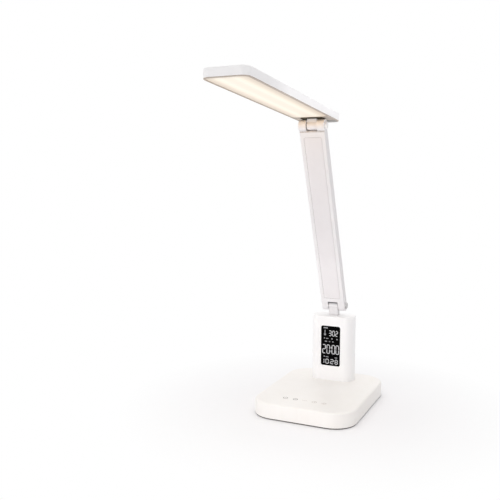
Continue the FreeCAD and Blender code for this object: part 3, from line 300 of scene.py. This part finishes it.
def mouldedPlastic(name, finish):
    put = {**plasticSet, "edgeSheenColor": finish["color"], **finish}
    material, tree, shader = startMaterial(name, IOR=put["ior"], Specular_IOR_Level=put["gloss"],
                                           Coat_Weight=put["coat"], Coat_Roughness=put["coatRough"])
    skin = useGroup(tree, mouldedSkin, Color=put["color"], Shade=put["shade"], Drift_Scale=put["drift"],
                    Grain_Scale=put["grain"], Roughness=put["rough"], Spread=put["spread"])
    edge = useGroup(tree, easedEdge, Radius=put["edge"])
    marks = useGroup(tree, handling, Amount=put["marks"], Scale=put["markScale"])
    # painted highlight: edges take a lighter colour, a sheen laid into the colour
    paintedEdgeSheen = mathStep(tree, "MULTIPLY", edge["Edge"], put["edgeSheenShare"])
    color = blendStep(tree, paintedEdgeSheen, skin["Color"], put["edgeSheenColor"])
    # painted shade: open creases of the piece itself take a darker colour, standing for the shade that
    # falls in them
    if "creaseShadeColor" in put:
        crease = useGroup(tree, creaseShade, Reach=put["reach"])["Crease"]
        paintedCreaseShade = mathStep(tree, "MULTIPLY", crease, put["creaseShadeShare"])
        color = blendStep(tree, paintedCreaseShade, color, put["creaseShadeColor"])
    wire(tree, color, shader.inputs["Base Color"])
    polish = mathStep(tree, "MULTIPLY", marks["Smear"], put["smearPolish"])
    dulling = mathStep(tree, "MULTIPLY", marks["Scratch"], put["scratchDull"])
    polished = mathStep(tree, "SUBTRACT", skin["Roughness"], polish)
    wire(tree, mathStep(tree, "ADD", polished, dulling), shader.inputs["Roughness"])
    addBump(tree, shader, skin["Height"], put["bump"], put["skinDepth"], edge["Normal"])
    return material


# what the metals share; a finish states its own value where it differs
metalSet = {"metallic": 1.0, "lines": 900.0, "edge": 0.2 * mm, "edgeSheenShare": 0.4, "bump": 0.15,
            "lineDepth": 0.02 * mm}


def metal(name, finish):
    put = {**metalSet, **finish}
    material, tree, shader = startMaterial(name, Metallic=put["metallic"])
    grain = useGroup(tree, metalGrain, Color=put["color"], Dark=put["dark"], Line_Scale=put["lines"],
                     Roughness=put["rough"])
    edge = useGroup(tree, easedEdge, Radius=put["edge"])
    # painted highlight: edges take the clean, lighter metal colour as a sheen
    paintedEdgeSheen = mathStep(tree, "MULTIPLY", edge["Edge"], put["edgeSheenShare"])
    wire(tree, blendStep(tree, paintedEdgeSheen, grain["Color"], put["color"]), shader.inputs["Base Color"])
    wire(tree, grain["Roughness"], shader.inputs["Roughness"])
    addBump(tree, shader, grain["Height"], put["bump"], put["lineDepth"], edge["Normal"])
    return material


def dress(material, *names):
    for name in names:
        slots = nodes[name].data.materials
        slots.clear()
        slots.append(material)


# housings
baseShellSet = {"color": (0.95, 0.925, 0.90, 1), "shade": (0.925, 0.895, 0.865, 1), "rough": 0.40,
                "edgeSheenColor": (0.96, 0.95, 0.94, 1), "drift": 22.0, "marks": 0.3, "bump": 0.10}
columnSet = {"color": (0.98, 0.97, 0.975, 1), "shade": (0.96, 0.95, 0.955, 1), "rough": 0.34,
             "edgeSheenColor": (0.97, 0.97, 0.97, 1), "coat": 0.08, "bump": 0.06}
# painted shade: the arm's white plastic is set greyer than the column and head, standing for the shade on
# the leaning arm
shadedArmSet = {"color": (0.825, 0.808, 0.818, 1), "shade": (0.80, 0.78, 0.79, 1), "rough": 0.42,
          # the crease colour below is painted shade, darkening the groove under the upper barrel and other
          # open creases
          "edgeSheenColor": (0.94, 0.93, 0.93, 1), "creaseShadeColor": (0.30, 0.25, 0.21, 1), "reach": 5.0 * mm}
shadedArmPanelSet = {"color": (0.803, 0.777, 0.787, 1), "shade": (0.778, 0.749, 0.759, 1), "rough": 0.36,
               "edgeSheenColor": (0.93, 0.92, 0.92, 1), "grain": 1500.0, "bump": 0.10}
headSet = {"color": (0.97, 0.96, 0.965, 1), "shade": (0.95, 0.94, 0.945, 1), "rough": 0.40,
           "edgeSheenColor": (0.96, 0.96, 0.96, 1), "bump": 0.10}
# painted shade: the bezel is set tan-brown, far darker than the head's white, standing for the shaded,
# warm-lit border under the head
shadedBezelSet = {"color": (0.50, 0.43, 0.37, 1), "shade": (0.47, 0.40, 0.34, 1), "rough": 0.5,
            "edgeSheenColor": (0.60, 0.54, 0.47, 1), "bump": 0.10}
buttonSet = {"color": (0.80, 0.79, 0.79, 1), "shade": (0.77, 0.76, 0.76, 1), "rough": 0.45,
             "edgeSheenColor": (0.90, 0.90, 0.90, 1), "edge": 0.25 * mm}
dress(mouldedPlastic("baseWhite", baseShellSet), "base_shell")
dress(mouldedPlastic("columnWhite", columnSet), "column_shell", "column_back_cover")
dress(mouldedPlastic("armWhitePaintedShade", shadedArmSet), "arm_frame", "arm_back_cover", "column_knuckle", "swivel_hub",
      "lower_hinge_plug", "upper_hinge_plug")
dress(mouldedPlastic("armPanelWhitePaintedShade", shadedArmPanelSet), "arm_front_panel")
dress(mouldedPlastic("headWhite", headSet), "head_cover")
dress(mouldedPlastic("bezelPaintedShade", shadedBezelSet), "head_bezel")
dress(mouldedPlastic("buttonGrey", buttonSet), "button_mode", "button_up", "button_down")

# pads, boards and other plain plastics
padSet = {"color": (0.13, 0.12, 0.115, 1), "shade": (0.10, 0.095, 0.09, 1), "rough": 0.8, "spread": 0.2,
          "grain": 900.0, "bump": 0.4, "gloss": 0.25, "edgeSheenShare": 0.1}
blackSet = {"color": (0.025, 0.025, 0.027, 1), "shade": (0.035, 0.035, 0.036, 1), "rough": 0.48,
            "edgeSheenColor": (0.10, 0.10, 0.10, 1), "grain": 1800.0}
plateSet = {"color": (0.085, 0.070, 0.048, 1), "shade": (0.095, 0.078, 0.054, 1), "rough": 0.6,
            "edgeSheenColor": (0.12, 0.10, 0.07, 1), "gloss": 0.12}
# the tail plate's grey is partly a darker part and partly painted shade under the head's tail
tailSet = {"color": (0.38, 0.37, 0.355, 1), "shade": (0.40, 0.39, 0.375, 1), "rough": 0.6, "gloss": 0.2}
nylonSet = {"color": (0.035, 0.03, 0.027, 1), "shade": (0.05, 0.045, 0.04, 1), "rough": 0.6}
paleNylonSet = {"color": (0.50, 0.49, 0.49, 1), "shade": (0.46, 0.45, 0.45, 1), "rough": 0.6}
boardSet = {"color": (0.03, 0.17, 0.07, 1), "shade": (0.05, 0.22, 0.10, 1), "rough": 0.35,
            "edgeSheenColor": (0.40, 0.42, 0.30, 1), "drift": 420.0, "coat": 0.3}
whiteBoardSet = {"color": (0.82, 0.83, 0.84, 1), "shade": (0.76, 0.77, 0.78, 1), "rough": 0.4,
                 "drift": 300.0}
ledSet = {"color": (0.90, 0.74, 0.20, 1), "shade": (0.95, 0.80, 0.30, 1), "rough": 0.3, "drift": 900.0}
leadSet = {"color": (0.40, 0.40, 0.41, 1), "shade": (0.46, 0.46, 0.47, 1), "rough": 0.6}
dress(mouldedPlastic("padRubber", padSet), "foot_pad")
# the arm stop pad's black is partly a dark part and partly painted shade along the lower notch's roof
dress(mouldedPlastic("blackPlastic", blackSet), "base_bottom", "power_inlet", "cell_holder",
      "tact_switches", "lcd_panel", "arm_stop_pad")
dress(mouldedPlastic("plateBrown", plateSet), "swivel_plate", "swivel_disc")
dress(mouldedPlastic("tailGrey", tailSet), "tail_plate")
dress(mouldedPlastic("washerNylon", nylonSet), "upper_friction_washers", "swivel_friction_ring")
dress(mouldedPlastic("washerPale", paleNylonSet), "lower_friction_washers")
dress(mouldedPlastic("boardGreen", boardSet), "touch_board", "main_board", "clock_board")
dress(mouldedPlastic("boardWhite", whiteBoardSet), "lcd_backlight", "reflector", "led_board")
dress(mouldedPlastic("ledYellow", ledSet), "leds")
dress(mouldedPlastic("leadGrey", leadSet), "arm_lead")

# metals
steelSet = {"color": (0.62, 0.62, 0.64, 1), "dark": (0.48, 0.48, 0.50, 1), "rough": 0.32}
# painted shade: the lower bolt is set darker than the pale upper bolt, standing for the shade it sits in
shadedBoltSet = {"color": (0.54, 0.53, 0.53, 1), "dark": (0.46, 0.45, 0.45, 1), "rough": 0.38, "edge": 0.3 * mm}
paleBoltSet = {"color": (0.90, 0.88, 0.87, 1), "dark": (0.86, 0.84, 0.83, 1), "rough": 0.42,
               "metallic": 0.2, "edge": 0.3 * mm}
ironSet = {"color": (0.16, 0.155, 0.15, 1), "dark": (0.10, 0.095, 0.09, 1), "rough": 0.62, "bump": 0.5,
           "lines": 350.0}
brassSet = {"color": (0.78, 0.58, 0.26, 1), "dark": (0.64, 0.46, 0.20, 1), "rough": 0.3}
dress(metal("screwSteel", steelSet), "base_screws", "main_board_screws", "column_screws",
      "back_cover_screws", "clock_board_screws", "knuckle_screws", "arm_cover_screws", "lower_hinge_nut",
      "upper_hinge_nut", "swivel_nut", "swivel_spring_washer", "bezel_screws", "bracket_screws",
      "swivel_bracket", "arm_spine", "coin_cell")
dress(metal("boltSteelPaintedShade", shadedBoltSet), "lower_hinge_bolt")
dress(metal("boltPale", paleBoltSet), "upper_hinge_bolt")
dress(metal("weightIron", ironSet), "base_weight")
dress(metal("contactBrass", brassSet), "touch_pads", "inlet_contact")
print("housings, boards and metals dressed")


# lit panel: two brighter lengthwise bands over the rows of light sources, falling off to the edges
panelSet = {"base": (0.30, 0.28, 0.25, 1), "strength": 1.2, "seen": 0.555, "cast": (1.0, 0.62, 0.22, 1),
            "rough": 0.55, "roughSwing": 0.06, "halfWidth": 22.0 * mm,
            "front": -267.5 * mm, "fade": 7.0 * mm, "frontLevel": 0.72,
            "rippleScale": 31.0, "rippleLow": 0.985, "frostScale": 3200.0, "frostFrom": 0.3, "frostTo": 0.7,
            "bump": 0.2, "frostDepth": 0.02 * mm,
            "stops": [(0.00, (0.93, 0.83, 0.70, 1)), (0.14, (0.94, 0.85, 0.72, 1)),
                      (0.36, (1.0, 0.93, 0.80, 1)), (0.52, (0.98, 0.89, 0.74, 1)),
                      (0.68, (0.82, 0.71, 0.58, 1)), (0.84, (0.70, 0.58, 0.46, 1)),
                      (0.95, (0.62, 0.50, 0.39, 1))]}


def makePanelGlow(put):
    tree, _, made = newGroup("panelGlow", [],
                             [("Color", "Color"), ("Height", "Float"), ("Roughness", "Float")])
    where = placeStep(tree)
    split = addNode(tree, "ShaderNodeSeparateXYZ")
    wire(tree, where, split.inputs[0])
    across = mathStep(tree, "DIVIDE", mathStep(tree, "ABSOLUTE", split.outputs["X"]), put["halfWidth"])
    ramp = addNode(tree, "ShaderNodeValToRGB")
    ramp.color_ramp.interpolation = "EASE"
    stops = ramp.color_ramp.elements
    stops[0].position, stops[0].color = put["stops"][0]
    stops[1].position, stops[1].color = put["stops"][-1]
    for position, color in put["stops"][1:-1]:
        stops.new(position).color = color
    wire(tree, across, ramp.inputs["Fac"])
    fadeEnd = put["front"] + put["fade"]
    frontFade = remapStep(tree, split.outputs["Y"], put["front"], fadeEnd, put["frontLevel"], 1.0)
    ripple = addNode(tree, "ShaderNodeTexWave", bands_direction="Y")
    ripple.inputs["Scale"].default_value = put["rippleScale"]
    wire(tree, where, ripple.inputs["Vector"])
    spots = remapStep(tree, ripple.outputs["Fac"], 0.0, 1.0, put["rippleLow"], 1.0)
    level = mathStep(tree, "MULTIPLY", frontFade, spots)
    wire(tree, blendStep(tree, level, black, ramp.outputs["Color"]), made["Color"])
    frost = noiseStep(tree, where, put["frostScale"], detail=2.0)
    wire(tree, frost, made["Height"])
    wire(tree, remapStep(tree, frost, put["frostFrom"], put["frostTo"], put["rough"] - put["roughSwing"],
                         put["rough"] + put["roughSwing"]), made["Roughness"])
    return tree


def frostedPanel(name, put):
    material, tree, shader = startMaterial(name, Base_Color=put["base"], Emission_Strength=put["strength"])
    glow = useGroup(tree, makePanelGlow(put))
    seen = blendStep(tree, put["seen"], black, glow["Color"])
    wire(tree, blendStep(tree, seenDirectly(tree), put["cast"], seen), shader.inputs["Emission Color"])
    wire(tree, glow["Roughness"], shader.inputs["Roughness"])
    addBump(tree, shader, glow["Height"], put["bump"], put["frostDepth"])
    return material


dress(frostedPanel("diffuserGlow", panelSet), "diffuser")
print("lit panel dressed")


# display window: polished black with faint finger smears
lensSet = {"base": (0.0008, 0.0008, 0.0008, 1), "smear": (0.002, 0.002, 0.002, 1), "rough": 0.10,
           "ior": 1.49, "gloss": 0.03, "marks": 0.6, "markScale": 90.0, "smearDull": 0.12,
           "scratchDull": 0.1, "bump": 0.1, "scratchDepth": 0.01 * mm}


def polishedLens(name, put):
    material, tree, shader = startMaterial(name, IOR=put["ior"], Specular_IOR_Level=put["gloss"])
    marks = useGroup(tree, handling, Amount=put["marks"], Scale=put["markScale"])
    wire(tree, blendStep(tree, marks["Smear"], put["base"], put["smear"]), shader.inputs["Base Color"])
    dulling = weighStep(tree, marks["Smear"], put["smearDull"], marks["Scratch"], put["scratchDull"])
    wire(tree, mathStep(tree, "ADD", dulling, put["rough"]), shader.inputs["Roughness"])
    addBump(tree, shader, marks["Scratch"], put["bump"], put["scratchDepth"])
    return material


dress(polishedLens("lensBlack", lensSet), "display_lens")
print("display window dressed")


# printed and lit marks: a slightly uneven ink
inkSet = {"drift": 700.0, "grain": 4000.0, "spread": 0.15, "glow": 0.0, "bump": 0.1, "inkDepth": 0.01 * mm}


def inkMaterial(name, finish):
    put = {**inkSet, **finish}
    material, tree, shader = startMaterial(name, Emission_Strength=put["glow"])
    skin = useGroup(tree, mouldedSkin, Color=put["color"], Shade=put["shade"], Drift_Scale=put["drift"],
                    Grain_Scale=put["grain"], Roughness=put["rough"], Spread=put["spread"])
    wire(tree, skin["Color"], shader.inputs["Base Color"])
    if put["glow"]:
        wire(tree, skin["Color"], shader.inputs["Emission Color"])
    wire(tree, skin["Roughness"], shader.inputs["Roughness"])
    addBump(tree, shader, skin["Height"], put["bump"], put["inkDepth"])
    return material


# flat marks are thin prisms; place turns a sheet point and a height into the lamp's frame
def addPrism(mesh, points, place, thick):
    low = [mesh.verts.new(place(u, v, 0)) for u, v in points]
    high = [mesh.verts.new(place(u, v, thick)) for u, v in points]
    mesh.faces.new(low)
    mesh.faces.new(high)
    for k in range(len(points)):
        after = (k + 1) % len(points)
        mesh.faces.new((low[k], low[after], high[after], high[k]))


def addStroke(mesh, points, width, closed, place, thick):
    count = len(points)
    rails = []
    for k, (u, v) in enumerate(points):
        before = points[k - 1] if k or closed else points[k]
        after = points[(k + 1) % count] if k + 1 < count or closed else points[k]
        along = Vector((after[0] - before[0], after[1] - before[1])).normalized()
        side = Vector((-along.y, along.x)) * width / 2
        corners = ((1, 0), (-1, 0), (-1, thick), (1, thick))
        rails.append([mesh.verts.new(place(u + side.x * s, v + side.y * s, h)) for s, h in corners])
    for k in range(count if closed else count - 1):
        first, second = rails[k], rails[(k + 1) % count]
        for a in range(len(first)):
            b = (a + 1) % len(first)
            mesh.faces.new((first[a], first[b], second[b], second[a]))
    if not closed:
        mesh.faces.new(rails[0])
        mesh.faces.new(rails[-1])


def arcPoints(u, v, radius, start, end, steps):
    turns = [math.radians(start + (end - start) * k / steps) for k in range(steps + 1)]
    return [(u + radius * math.cos(a), v + radius * math.sin(a)) for a in turns]


def ringPoints(u, v, radius, steps):
    return arcPoints(u, v, radius, 0, 360, steps)[:-1]


def roundedPoints(u, v, wide, high, corner, steps):
    points = []
    reachU, reachV = wide / 2 - corner, high / 2 - corner
    for sideU, sideV, start in ((1, 1, 0), (-1, 1, 90), (-1, -1, 180), (1, -1, 270)):
        points += arcPoints(u + sideU * reachU, v + sideV * reachV, corner, start, start + 90, steps)
    return points


def finishPiece(name, mesh, material, body):
    bmesh.ops.recalc_face_normals(mesh, faces=mesh.faces)
    data = bpy.data.meshes.new(name)
    mesh.to_mesh(data)
    mesh.free()
    piece = bpy.data.objects.new(name, data)
    scene.collection.objects.link(piece)
    data.materials.append(material)
    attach(piece, body)


# clock face: seven-bar figures and small plain signs on the window, in millimetres across and up;
# a figure has its left edge and width, a dot its middle and radius, a sign its middle and size
faceSet = {
    "proud": 0.05, "gap": 0.14, "dotSteps": 12,
    "time": {"figures": [("2", -11.4, 4.9), ("0", -5.5, 4.9), ("0", 1.7, 4.9), ("0", 7.2, 4.9)],
             "bottom": 55.7, "high": 12.6, "bar": 1.05, "dots": [(0.9, 59.6, 0.75), (0.9, 64.3, 0.75)]},
    "heat": {"figures": [("3", -2.8, 4.2), ("0", 2.2, 3.9), ("2", 6.5, 3.7)],
             "bottom": 80.2, "high": 7.7, "bar": 0.95, "dots": []},
    "date": {"figures": [("1", -12.6, 4.2), ("0", -6.8, 4.8), ("2", -0.3, 5.2), ("8", 6.2, 4.4)],
             "bottom": 41.9, "high": 6.6, "bar": 0.95, "dots": []},
    "topBar": {"left": -9.9, "right": -4.0, "bottom": 90.2, "top": 91.9},
    "stem": {"at": -7.9, "bottom": 83.2, "top": 88.2, "width": 1.1},
    "bulb": {"height": 82.0, "radius": 1.5, "steps": 24},
    "signs": [(-8.6, 76.9, 1.5, 1.5), (-4.6, 76.6, 3.4, 1.1), (2.0, 76.6, 2.0, 1.6), (9.0, 76.4, 1.7, 1.6),
              (-6.4, 72.6, 3.2, 1.4), (-1.4, 72.6, 1.9, 1.2), (3.4, 72.6, 1.9, 1.3),
              (-8.5, 51.8, 1.8, 1.5), (-4.6, 51.3, 4.0, 1.1), (8.0, 51.0, 3.6, 1.1)],
    "signCorner": 0.3, "cornerSteps": 4,
    "bright": {"color": (0.37, 0.37, 0.38, 1), "shade": (0.33, 0.33, 0.34, 1), "rough": 0.5, "glow": 0.7},
    "dim": {"color": (0.20, 0.20, 0.21, 1), "shade": (0.17, 0.17, 0.18, 1), "rough": 0.5, "glow": 0.6}}
barsOfFigure = {"0": "abcdef", "1": "bc", "2": "abged", "3": "abgcd", "8": "abcdefg"}
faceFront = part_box("display_lens")[0].y


def onFace(u, v, height):
    return Vector((u, -height, v)) * mm + Vector((0, faceFront, 0))


def addBar(mesh, u0, v0, u1, v1, width):
    along = Vector((u1 - u0, v1 - v0)).normalized()
    side = Vector((-along.y, along.x)) * width / 2
    tip = along * width / 2
    start, end = Vector((u0, v0)), Vector((u1, v1))
    points = [start, start + tip + side, end - tip + side, end, end - tip - side, start + tip - side]
    addPrism(mesh, [tuple(p) for p in points], onFace, faceSet["proud"])


def addFigure(mesh, figure, left, bottom, wide, high, width):
    inset = width / 2
    gap = faceSet["gap"]
    near, far = left + inset, left + wide - inset
    low, mid, top = bottom + inset, bottom + high / 2, bottom + high - inset
    ends = {"a": (near, top, far, top), "b": (far, mid, far, top), "c": (far, low, far, mid),
            "d": (near, low, far, low), "e": (near, low, near, mid), "f": (near, mid, near, top),
            "g": (near, mid, far, mid)}
    for name in barsOfFigure[figure]:
        u0, v0, u1, v1 = ends[name]
        gapU, gapV = (gap, 0) if v0 == v1 else (0, gap)
        addBar(mesh, u0 + gapU, v0 + gapV, u1 - gapU, v1 - gapV, width)


def buildFigures(name, row, ink):
    mesh = bmesh.new()
    for figure, left, wide in row["figures"]:
        addFigure(mesh, figure, left, row["bottom"], wide, row["high"], row["bar"])
    for u, v, radius in row["dots"]:
        addPrism(mesh, ringPoints(u, v, radius, faceSet["dotSteps"]), onFace, faceSet["proud"])
    finishPiece(name, mesh, ink, "base")


def buildFaceSigns(ink):
    proud = faceSet["proud"]
    bar, stem, bulb = faceSet["topBar"], faceSet["stem"], faceSet["bulb"]
    signs = bmesh.new()
    addPrism(signs, [(bar["left"], bar["bottom"]), (bar["right"], bar["bottom"]),
                     (bar["right"], bar["top"]), (bar["left"], bar["top"])], onFace, proud)
    addStroke(signs, [(stem["at"], stem["bottom"]), (stem["at"], stem["top"])], stem["width"], False,
              onFace, proud)
    addPrism(signs, ringPoints(stem["at"], bulb["height"], bulb["radius"], bulb["steps"]), onFace, proud)
    for u, v, wide, high in faceSet["signs"]:
        corner = min(wide, high) * faceSet["signCorner"]
        addPrism(signs, roundedPoints(u, v, wide, high, corner, faceSet["cornerSteps"]), onFace, proud)
    finishPiece("faceSigns", signs, ink, "base")


figureInk = inkMaterial("figureLight", faceSet["bright"])
buildFigures("timeFigures", faceSet["time"], figureInk)
buildFigures("heatFigures", faceSet["heat"], figureInk)
buildFigures("dateFigures", faceSet["date"], figureInk)
buildFaceSigns(inkMaterial("signLight", faceSet["dim"]))
print("clock face built")


# touch-key signs printed on the base's top, in millimetres across and back
keySet = {
    "proud": 0.04, "row": -55.0, "boldLine": 0.95, "thinLine": 0.55, "ringSteps": 28,
    "openRing": {"at": -26.8, "radius": 2.7, "start": 125, "end": 415, "steps": 26,
                 "strokeFrom": 0.6, "strokeTo": 3.6},
    "barRing": {"at": -13.6, "radius": 2.7, "barHalf": 1.4},
    "dash": {"left": -5.0, "right": 1.4, "rise": 0.6},
    "clock": {"at": 11.0, "radius": 2.8, "hands": [(0.0, 1.7), (0.0, 0.0), (1.4, -0.8)]},
    "sun": {"at": 23.6, "radius": 1.5, "rays": 8, "rayFrom": 2.2, "rayTo": 3.3},
    "ink": {"color": (0.33, 0.30, 0.29, 1), "shade": (0.38, 0.35, 0.34, 1), "rough": 0.55},
    "paleInk": {"color": (0.52, 0.46, 0.42, 1), "shade": (0.56, 0.50, 0.46, 1), "rough": 0.55}}
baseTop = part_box("base_shell")[1].z


def onBase(u, v, height):
    return Vector((u, v, height)) * mm + Vector((0, 0, baseTop))


def addKeyLine(mesh, points, width):
    addStroke(mesh, points, width, False, onBase, keySet["proud"])


def addKeyRing(mesh, put, width):
    points = ringPoints(put["at"], keySet["row"], put["radius"], keySet["ringSteps"])
    addStroke(mesh, points, width, True, onBase, keySet["proud"])


def buildDarkSigns():
    row, width = keySet["row"], keySet["boldLine"]
    ring, barred = keySet["openRing"], keySet["barRing"]
    signs = bmesh.new()
    addKeyLine(signs, arcPoints(ring["at"], row, ring["radius"], ring["start"], ring["end"], ring["steps"]),
               width)
    addKeyLine(signs, [(ring["at"], row + ring["strokeFrom"]), (ring["at"], row + ring["strokeTo"])], width)
    addKeyRing(signs, barred, width)
    addKeyLine(signs, [(barred["at"] - barred["barHalf"], row), (barred["at"] + barred["barHalf"], row)],
               width)
    finishPiece("keySignsDark", signs, inkMaterial("keyInk", keySet["ink"]), "base")


def buildPaleSigns():
    row, width = keySet["row"], keySet["thinLine"]
    dash, clock, sun = keySet["dash"], keySet["clock"], keySet["sun"]
    signs = bmesh.new()
    addKeyLine(signs, [(dash["left"], row + dash["rise"]), (dash["right"], row + dash["rise"])], width)
    addKeyRing(signs, clock, width)
    addKeyLine(signs, [(clock["at"] + u, row + v) for u, v in clock["hands"]], width)
    addKeyRing(signs, sun, width)
    for k in range(sun["rays"]):
        turn = math.radians(360 / sun["rays"] * k)
        addKeyLine(signs, [(sun["at"] + math.cos(turn) * away, row + math.sin(turn) * away)
                           for away in (sun["rayFrom"], sun["rayTo"])], width)
    finishPiece("keySignsPale", signs, inkMaterial("keyInkPale", keySet["paleInk"]), "base")


buildDarkSigns()
buildPaleSigns()
print("key signs built")


# studio: a pale floor that turns plain white away from the lamp, in even white surroundings
stageSet = {"floorSize": 80.0, "floorColor": (0.945, 0.94, 0.955, 1), "whiteNear": 0.0, "whiteFar": 1.0,
            "fadeFrom": 0.08, "fadeTo": 0.26, "ambient": 0.50, "backdrop": 1.0}


def buildFloor(put):
    half = put["floorSize"] / 2
    corners = ((-half, -half), (half, -half), (half, half), (-half, half))
    mesh = bmesh.new()
    mesh.faces.new([mesh.verts.new((x, y, 0)) for x, y in corners])
    data = bpy.data.meshes.new("paleFloor")
    mesh.to_mesh(data)
    mesh.free()
    floor = bpy.data.objects.new("paleFloor", data)
    scene.collection.objects.link(floor)
    material = bpy.data.materials.new("paleFloor")
    material.use_nodes = True
    tree = material.node_tree
    tree.nodes.clear()
    diffuse = addNode(tree, "ShaderNodeBsdfDiffuse")
    diffuse.inputs["Color"].default_value = put["floorColor"]
    light = addNode(tree, "ShaderNodeEmission")
    mix = addNode(tree, "ShaderNodeMixShader")
    away = addNode(tree, "ShaderNodeVectorMath", operation="LENGTH")
    wire(tree, placeStep(tree), away.inputs[0])
    fade = remapStep(tree, away.outputs["Value"], put["fadeFrom"], put["fadeTo"],
                     put["whiteNear"], put["whiteFar"])
    wire(tree, mathStep(tree, "MULTIPLY", seenDirectly(tree), fade), mix.inputs[0])
    wire(tree, diffuse.outputs[0], mix.inputs[1])
    wire(tree, light.outputs[0], mix.inputs[2])
    wire(tree, mix.outputs[0], addNode(tree, "ShaderNodeOutputMaterial").inputs["Surface"])
    data.materials.append(material)


def buildSurroundings(put):
    world = bpy.data.worlds.new("whiteRoom")
    scene.world = world
    world.use_nodes = True
    tree = world.node_tree
    background = tree.nodes["Background"]
    level = remapStep(tree, seenDirectly(tree), 0.0, 1.0, put["ambient"], put["backdrop"])
    wire(tree, level, background.inputs["Strength"])
    background.inputs["Color"].default_value = white


buildFloor(stageSet)
buildSurroundings(stageSet)
print("stage built")


# light: broad top and front light, a soft box at the left, a low fill in front, a thin strip level
# with the head at the right, and soft spots at the lower hinge and the column's foot
sunSet = [{"name": "topLight", "from": (0.0, 0.25, 1.0), "level": 0.43, "spread": 90.0,
           "color": (1, 0.99, 0.98)},
          {"name": "frontLight", "from": (-0.35, -0.80, 0.45), "level": 0.085, "spread": 60.0,
           "color": (1, 0.99, 0.98)}]
lampSet = [{"name": "leftBox", "at": (-0.50, -0.42, 0.05), "aim": (0, 0.0, 0.05), "wide": 0.14,
            "high": 0.14, "beam": 180.0, "power": 0.37, "color": (1.0, 0.985, 0.97)},
           {"name": "frontFill", "at": (0.07, -0.44, 0.05), "aim": (0, 0.05, 0.12), "wide": 0.10,
            "high": 0.10, "beam": 180.0, "power": 0.255, "color": (1.0, 0.99, 0.985)},
           {"name": "rightStrip", "at": (0.44, -0.065, 0.384), "aim": (0, -0.065, 0.373), "wide": 0.26,
            "high": 0.02, "beam": 10.0, "power": 0.0058, "color": (0.98, 0.985, 1.0)}]
spotSet = [{"name": "hingeFill", "at": (-0.03, -0.30, 0.32), "aim": (0, 0.05, 0.142), "cone": 15.0,
            "blend": 1.0, "soft": 0.03, "power": 1.1, "color": (1.0, 0.995, 1.0)},
           {"name": "footFill", "at": (0.02, -0.42, 0.22), "aim": (0.005, 0.01, 0.025), "cone": 14.0,
            "blend": 1.0, "soft": 0.03, "power": 0.7, "color": (1.0, 0.99, 0.985)}]


def aimLight(data, put, at, towards):
    data.color = put["color"]
    light = bpy.data.objects.new(put["name"], data)
    scene.collection.objects.link(light)
    light.location = at
    light.rotation_mode = "QUATERNION"
    light.rotation_quaternion = (Vector(towards) - Vector(at)).to_track_quat("-Z", "Y")
    light.visible_camera = False


def addSun(put):
    data = bpy.data.lights.new(put["name"], "SUN")
    data.energy = put["level"] * math.pi
    data.angle = math.radians(put["spread"])
    aimLight(data, put, put["from"], (0, 0, 0))


def addLamp(put):
    data = bpy.data.lights.new(put["name"], "AREA")
    data.shape = "RECTANGLE"
    data.size = put["wide"]
    data.size_y = put["high"]
    data.spread = math.radians(put["beam"])
    data.energy = put["power"]
    aimLight(data, put, put["at"], put["aim"])


def addSpot(put):
    data = bpy.data.lights.new(put["name"], "SPOT")
    data.spot_size = math.radians(put["cone"])
    data.spot_blend = put["blend"]
    data.shadow_soft_size = put["soft"]
    data.energy = put["power"]
    aimLight(data, put, put["at"], put["aim"])


for sun in sunSet:
    addSun(sun)
for lamp in lampSet:
    addLamp(lamp)
for spot in spotSet:
    addSpot(spot)
print("light set")
